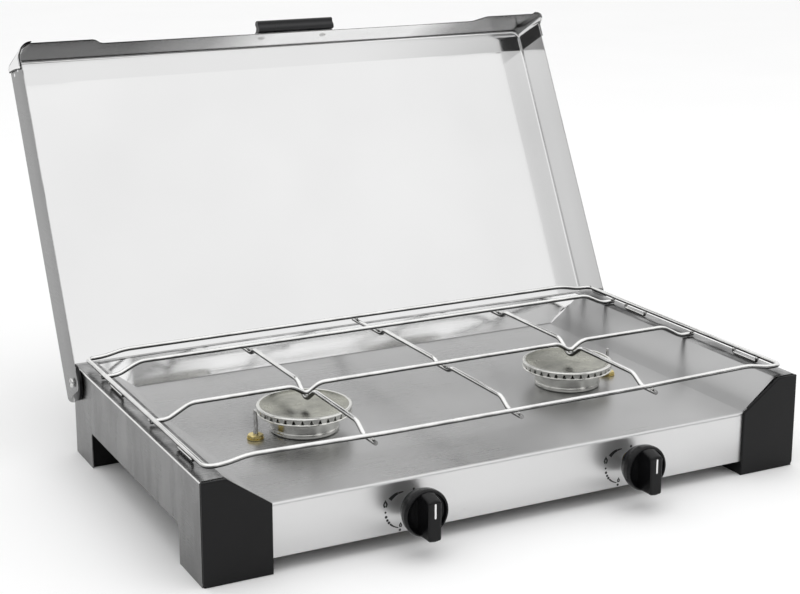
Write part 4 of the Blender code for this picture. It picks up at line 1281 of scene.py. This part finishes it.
def make_burner(side):
    centre = burner_at[side]
    move = Matrix.Translation((centre.x, centre.y, 0))
    polished = spun("polished_steel_" + side, burner_at[side], (0.62, 0.62, 0.59), 0.16)
    dull = spun("dull_steel_" + side, burner_at[side], (0.34, 0.34, 0.29), 0.22, rim=cap_r - 0.0032)
    shapes = {"cup": cup_profile(), "crown": crown_profile(), "cap": cap_profile()}
    for part, profile in shapes.items():
        mesh = mesh_of(lathe(profile, move, 128), part, sharp=45.0)
        if part == "crown":
            mesh = cut_or_join(mesh, notch_cutters(centre), "DIFFERENCE")
        mesh.name = f"{part}_{side}"
        lay_rings(mesh, (centre.x, centre.y, 0))
        item = add_piece(f"{part}_{side}", mesh, dull if part == "cap" else polished, "base",
                         [f"burner_{part}_{side}"])
        if part != "cap":
            even_shading(item)


for side, _ in SIDES:
    make_burner(side)

# %% [markdown]
# Beside each burner stands the flame probe, a thin steel rod in a brass nut with a finer wire beside it.
# If the flame goes out the probe cools and the tap shuts the gas. The nut is a hexagon with its corners
# turned off, which is a lathe cone cutting a six-sided block.

# %% Flame probes and nuts
def hex_nut(radius, low, high, bore, matrix=None, washer=0.0):
    """A hexagonal nut about Z with chamfered corners. radius is to the flats."""
    corner = radius / math.cos(math.pi / 6)
    outline = [(corner * math.cos(math.pi / 3 * side), corner * math.sin(math.pi / 3 * side), low + washer)
               for side in range(6)]
    mesh = mesh_of(extruded(outline, (0, 0, high - low - washer)), "hexagon")
    slope = (corner - radius) * 0.8
    cone = [(radius * 0.96, high + 0.0001), (corner + 0.0002, high - slope), (corner + 0.0002, low - 0.0001),
            (bore, low - 0.0001),
            (bore, high + 0.0001)]
    mesh = cut_or_join(mesh, lathe(cone, None, 48), "INTERSECT")
    bm = bmesh.new()
    bm.from_mesh(mesh)
    if washer:
        rim = [(corner * 1.04, low + washer * 0.8), (corner * 1.04, low), (bore, low),
               (bore, low + washer * 0.8)]
        bm = merged([bm, lathe(rim, None, 48)])
    if matrix:
        bm.transform(matrix)
    return bm


def make_probe(side, sign):
    low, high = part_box("flame_probe_" + side)
    x, y = (low.x + high.x) / 2, (low.y + high.y) / 2
    nut_low, nut_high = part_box("probe_nut_" + side)
    move = Matrix.Translation((x, y, 0))
    tip = [(0, high.z)] + [(0.0014 * math.sin(angle), high.z - 0.0014 + 0.0014 * math.cos(angle))
                           for angle in (math.pi / 2 * step / 5 for step in range(1, 6))]
    profile = tip + [(0.0014, high.z - 0.006), (0.0012, high.z - 0.0065), (0.0012, nut_high.z + 0.004),
                     (0.0019, nut_high.z + 0.003), (0.0019, nut_high.z), (0.0014, nut_high.z),
                     (0.0014, low.z), (0, low.z)]
    add_piece("probe_" + side, mesh_of(lathe(profile, move, 32), "probe_" + side), bright_steel, "base",
              ["flame_probe_" + side])
    lead = [(x + 0.0026, y + 0.0010, nut_high.z), (x + 0.0024, y + 0.0010, high.z - 0.012),
            (x + 0.0010, y, high.z - 0.0022), (x - 0.0016, y - 0.0004, high.z - 0.0008)]
    add_piece("probe_lead_" + side, tube("probe_lead_" + side, bent(lead, 0.0015), 0.0005), drawn_tube,
              "base")
    nut = hex_nut((nut_high.y - nut_low.y) / 2, nut_low.z, nut_high.z, 0.0017,
                  move @ Matrix.Rotation(math.radians(12 * sign), 4, "Z"), washer=0.0011)
    item = add_piece("probe_nut_brass_" + side, mesh_of(nut, "probe_nut_brass_" + side, 25.0), brass, "base",
                     ["probe_nut_" + side])
    even_shading(item)


for side, sign in SIDES:
    make_probe(side, sign)

# %% [markdown]
# ## The knobs
# A tap knob is a round dished skirt with a grip bar across it. The bar is pinched a little towards its
# face so that fingers find it. Skirt and bar are one moulding, so they are joined into one mesh, and the
# bar's edges are rounded. A painted line on the bar shows where the tap stands.

# %% Knobs
GRIP_TOP = 0.0181                # how far the bar reaches down
skirt_deep = 0.0155
knob_low, knob_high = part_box("knob_left")
knob_r = (knob_high.x - knob_low.x) / 2
knob_deep = knob_high.y - knob_low.y


def knob_skirt():
    rough = [(0, 0.0118), (knob_r - 0.0060, 0.0118), (knob_r - 0.0032, 0.0132),
             (knob_r - 0.0026, skirt_deep - 0.0004),
             (knob_r - 0.0012, skirt_deep), (knob_r, skirt_deep - 0.0020), (knob_r - 0.0004, 0.0080),
             (knob_r - 0.0032, 0.0008), (knob_r - 0.0046, 0.0), (0.0046, 0.0), (0.0046, 0.0100), (0, 0.0100)]
    return rounded_profile(rough, 0.0014, 5)


def knob_bar():
    """The grip bar, widest at its foot and rounded at both ends, about local Z."""
    bm = bmesh.new()
    levels = ((0.0105, 0.0072, 0.0172), (0.0165, 0.0060, 0.0168), (0.0225, 0.0056, 0.0154),
              (knob_deep, 0.0057, 0.0138))
    loops = []
    for height, half, reach in levels:
        outline = [(-half, -GRIP_TOP), (0, -GRIP_TOP - 0.0008), (half, -GRIP_TOP), (half, 0), (half, reach),
                   (0, reach + 0.0012), (-half, reach), (-half, 0)]
        loops.append([bm.verts.new((x, y, height)) for x, y in outline])
    for one, two in zip(loops, loops[1:]):
        for index in range(len(one)):
            after = (index + 1) % len(one)
            bm.faces.new((one[index], one[after], two[after], two[index]))
    bm.faces.new(loops[-1])
    bm.faces.new(list(reversed(loops[0])))
    bmesh.ops.recalc_face_normals(bm, faces=bm.faces)
    hard = [edge for edge in bm.edges if edge.calc_face_angle() > math.radians(35)
            and max(vertex.co.z for vertex in edge.verts) > 0.011]
    bmesh.ops.bevel(bm, geom=hard, offset=0.0016, segments=5, affect="EDGES", profile=0.5)
    return bm


def make_knob(side):
    centre = knob_at[side]
    mesh = mesh_of(lathe(knob_skirt(), None, 128), "knob")
    mesh = cut_or_join(mesh, knob_bar(), "UNION")
    face = Matrix.Translation(centre) @ Matrix.Rotation(math.pi / 2, 4, "X")
    mesh.transform(face)
    mesh.name = "tap_knob_" + side
    mesh.shade_smooth()
    mesh.set_sharp_from_angle(angle=math.radians(40))
    item = add_piece("tap_knob_" + side, mesh, knob_plastic, "dial_" + side, ["knob_" + side])
    even_shading(item)
    half = 0.0008
    low_end, high_end = 0.0012, 0.0120
    line = [(half * math.cos(math.radians(angle)), high_end + half * math.sin(math.radians(angle)),
             knob_deep - 0.0003)
            for angle in range(0, 181, 20)]
    line += [(half * math.cos(math.radians(angle)), low_end + half * math.sin(math.radians(angle)),
              knob_deep - 0.0003)
             for angle in range(180, 361, 20)]
    pointer = extruded(line, (0, 0, 0.00045))
    pointer.transform(face)
    item = add_piece("pointer_" + side, mesh_of(pointer, "pointer_" + side), white_paint, "dial_" + side)
    round_edges(item, 0.0001, 2, 40.0)


for side, _ in SIDES:
    make_knob(side)

# %% [markdown]
# ## Dial marks
# Printed round each knob are the usual marks of a gas tap: a dot for off, a band that swells towards a
# large flame, and small strokes down to a small flame. Ink stands a few hundredths of a millimetre proud,
# so each mark is a very thin plate. All of them lie on a ring, given by angles.

# %% Print the dial marks
INK = 0.00006
RING_R = 0.0151
RING_SHIFT = Vector((-0.0075, 0.0, -0.0050))


def ring_band(radius, start, stop, width_start, width_stop, steps=14):
    outer, inner = [], []
    for step in range(steps + 1):
        share = step / steps
        angle = math.radians(start + (stop - start) * share)
        half = (width_start + (width_stop - width_start) * share) / 2
        outer.append(((radius + half) * math.cos(angle), (radius + half) * math.sin(angle)))
        inner.append(((radius - half) * math.cos(angle), (radius - half) * math.sin(angle)))
    return outer + inner[::-1]


def spot(angle, radius, size):
    x, z = radius * math.cos(math.radians(angle)), radius * math.sin(math.radians(angle))
    return [(x + size * math.cos(math.tau * step / 16),
             z + size * math.sin(math.tau * step / 16)) for step in range(16)]


def flame(angle, radius, height, stroke):
    """An upright drop, drawn as two strokes that meet at its point."""
    x, z = radius * math.cos(math.radians(angle)), radius * math.sin(math.radians(angle))
    strokes = []
    for sign in (-1, 1):
        shares = [step / 12 for step in range(13)]
        wide = [0.30 * height * math.sin(math.pi * share ** 1.5) ** 0.9 + stroke / 2 * (share > 0.9)
                for share in shares]
        outer = [(x + sign * (half + 0.00005), z + height * (0.5 - share))
                 for half, share in zip(wide, shares)]
        inner = [(x + sign * max(half - stroke, 0.0), z + height * (0.5 - share))
                 for half, share in zip(wide, shares)]
        strokes.append(outer + inner[-2:0:-1])
    return strokes


def dial_outlines():
    marks = [spot(57, RING_R + 0.0033, 0.0011), ring_band(RING_R - 0.0004, 87, 105, 0.0008, 0.0016),
             ring_band(RING_R - 0.0002, 106, 138, 0.0020, 0.0034)]
    marks += flame(154, RING_R + 0.0018, 0.0068, 0.0015) + flame(262, RING_R - 0.0025, 0.0046, 0.0011)
    marks += [spot(angle, RING_R, size)
              for angle, size in ((180, 0.0009), (195, 0.0012), (207, 0.0011), (217, 0.0012))]
    marks += [ring_band(RING_R, 223, 256, 0.0016, 0.0007), spot(262, RING_R + 0.0019, 0.0011)]
    return marks


def make_marks(side):
    centre = knob_at[side] + RING_SHIFT
    marks = merged([extruded([(centre.x + x, front_y + INK, centre.z + z) for x, z in outline],
                             (0, -2 * INK, 0))
                    for outline in dial_outlines()])
    add_piece("dial_marks_" + side, mesh_of(marks, "dial_marks_" + side), black_ink_and_seam_shade, "base")


for side, _ in SIDES:
    make_marks(side)

# %% [markdown]
# ## The gas line
# Under the tray a pipe runs below both taps and back to the inlet, and a tube leads from each tap to its
# burner. They show through the arches and from below. The inlet at the back is a turned
# brass nipple with barbs that a hose is pushed over, held by a nut.

# %% Gas pipe, mixing tubes and inlet
pipe_low, pipe_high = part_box("gas_pipe")
PIPE_R = 0.0040
inlet_low, inlet_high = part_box("hose_nipple")
inlet = Vector(((inlet_low.x + inlet_high.x) / 2, back_y, (inlet_low.z + inlet_high.z) / 2))


def gas_route():
    y, z = pipe_low.y + PIPE_R, pipe_low.z + PIPE_R
    return [(pipe_low.x, y, z), (inlet.x, y, z), (inlet.x, y + 0.03, z), (inlet.x, back_y - 0.060, z + 0.001),
            (inlet.x, back_y - 0.030, inlet.z), (inlet.x, pipe_high.y, inlet.z)]


def tube_route(side, sign):
    tap, burner = knob_at[side], burner_at[side]
    start_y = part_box("mixing_tube_" + side)[0].y
    return [(tap.x, start_y, tap.z), (tap.x + sign * 0.004, start_y + 0.021, tap.z),
            (burner.x - sign * 0.003, burner.y - 0.033, tap.z + 0.003), (burner.x, burner.y, tap.z + 0.004),
            (burner.x, burner.y, FLOOR_Z)]


add_piece("supply_pipe", tube("supply_pipe", bent(gas_route(), 0.016), PIPE_R), drawn_tube, "base",
          ["gas_pipe"])
for side, sign in SIDES:
    add_piece("burner_tube_" + side, tube("burner_tube_" + side, bent(tube_route(side, sign), 0.020), 0.0070),
              drawn_tube,
              "base", ["mixing_tube_" + side])
out_of_back = Matrix.Translation(inlet) @ Matrix.Rotation(-math.pi / 2, 4, "X")
barbs = [(0.0030, 0.0290), (0.0040, 0.0288), (0.0044, 0.0282)]
for start in (0.0235, 0.0180, 0.0125):
    barbs += [(0.0053, start), (0.0043, start - 0.0004), (0.0043, start - 0.0012)]
barbs += [(0.0042, 0.0092), (0.0072, 0.0088), (0.0078, 0.0080), (0.0078, 0.0010), (0.0072, 0.0003),
          (0.0058, 0.0003),
          (0.0058, -0.0118), (0.0022, -0.0118), (0.0022, 0.0285)]
add_piece("hose_tail", mesh_of(lathe(barbs, out_of_back, 64), "hose_tail", 25.0), brass, "base",
          ["hose_nipple"])
nut = hex_nut(0.0085, -0.0120, -0.0013, 0.0062, out_of_back)
add_piece("tail_nut", mesh_of(nut, "tail_nut", 25.0), brass, "base", ["inlet_nut"])

# %% [markdown]
# ## What stays as it is
# The tap bodies, jets, spindles, plungers and hinge nuts sit inside the housing. Their plain shapes
# are right, so they only need the right metal.

# %% Finish the inner parts
INNER = {"hinge_nut": bright_steel, "spindle": bright_steel, "valve_plunger": bright_steel,
         "valve_body": brass,
         "jet": brass}
for name, finish in INNER.items():
    for side, _ in SIDES:
        node = frame["nodes"][f"{name}_{side}"]
        node.data.materials.clear()
        node.data.materials.append(finish)
    print(name, "takes", finish.name)

# %% [markdown]
# ## The studio
# Polished metal has no look of its own: it shows the room. The room here is a plain pale floor, a bright
# ceiling that fades down the walls, and two large soft lights. Low down in front it is dark, except for one
# white card, and the left is dimmer. That gives the polished edges and walls something to show.

# %% Floor
floor_material, floor_tree, floor_shader = new_finish("pale_floor", Roughness=0.9, Specular_IOR_Level=0.2)
paper = noise(floor_tree, (3.0, 3.0, 3.0), detail=2.0)
floor_tree.links.new(shades(floor_tree, paper, [(0.3, (0.925, 0.925, 0.925)), (0.5, (0.93, 0.93, 0.93)),
                                                (0.7, (0.935, 0.935, 0.935))]),
                     floor_shader.inputs["Base Color"])
bm = bmesh.new()
bmesh.ops.create_grid(bm, x_segments=8, y_segments=8, size=14.0)
floor = bpy.data.objects.new("floor", mesh_of(bm, "floor"))
floor.data.materials.append(floor_material)
bpy.context.scene.collection.objects.link(floor)
floor.location.z = cad_box[0].z
floor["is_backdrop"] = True
print("the floor lies at", round(floor.location.z, 4), "m")

# %% Room and lights
world = bpy.data.worlds.new("studio")
world.use_nodes = True
bpy.context.scene.world = world
room = world.node_tree
direction = add(room, "ShaderNodeTexCoord").outputs["Generated"]
axes = add(room, "ShaderNodeSeparateXYZ", Vector=direction)
east, north, up = axes.outputs
walls = shades(room, up, [(0.0, (0.70, 0.70, 0.70)), (0.12, (0.80, 0.80, 0.80)), (0.60, (0.86, 0.86, 0.86)),
                          (0.72, (0.91, 0.91, 0.91)), (0.90, (1.0, 1.0, 1.0))])
to_front = maths(room, "MULTIPLY", north, -1.0)
low_front = maths(room, "MULTIPLY", ranged(room, to_front, 0.0, 1.0, 0.35, 0.7),
                  ranged(room, up, 1.0, 0.0, 0.30, 0.42))
bearing = maths(room, "DIVIDE", east, maths(room, "MAXIMUM", to_front, 0.001))
CARD_BEARING = 0.46              # sideways over forwards
beside_card = ranged(room, maths(room, "ABSOLUTE", maths(room, "SUBTRACT", bearing, CARD_BEARING), 0.0),
                     0.0, 1.0, 0.10, 0.17)
dark_front = maths(room, "MULTIPLY", low_front, beside_card)
to_left = maths(room, "MULTIPLY", east, -1.0)
dim_left = maths(room, "MULTIPLY", ranged(room, to_left, 0.0, 0.6, 0.25, 0.6),
                 ranged(room, up, 1.0, 0.0, 0.3, 0.6))
shaded = blend(room, dark_front, blend(room, dim_left, walls, (0.25, 0.25, 0.25)), (0.03, 0.03, 0.03))
seen = add(room, "ShaderNodeLightPath").outputs["Is Camera Ray"]
background = room.nodes["Background"]
room.links.new(blend(room, seen, shaded, (0.80, 0.80, 0.80)), background.inputs["Color"])
background.inputs["Strength"].default_value = 1.18


def soft_light(name, place, target, width, height, power):
    light = bpy.data.lights.new(name, "AREA")
    light.shape = "RECTANGLE"
    light.size = width
    light.size_y = height
    light.energy = power
    lamp = bpy.data.objects.new(name, light)
    lamp.location = place
    lamp.rotation_euler = (Vector(target) - Vector(place)).to_track_quat("-Z", "Y").to_euler()
    lamp.visible_glossy = False
    bpy.context.scene.collection.objects.link(lamp)
    print(name, "gives", power, "W")


middle = (cad_box[0] + cad_box[1]) / 2
soft_light("overhead", (0.2, -0.3, 2.4), middle, 2.2, 1.8, 10.0)
soft_light("front_right", (1.9, -2.3, 0.9), middle, 1.4, 1.2, 5.0)

# %% [markdown]
# ## Compare and finish
# The finished surfaces must stay inside the measured box; how far they grew past it is printed.

# %% Print how far the box grew and finish
shown_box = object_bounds()
grown = [[round(1000 * (new - old), 2) for new, old in zip(*corners)] for corners in zip(shown_box, cad_box)]
print("grown in mm:", grown)
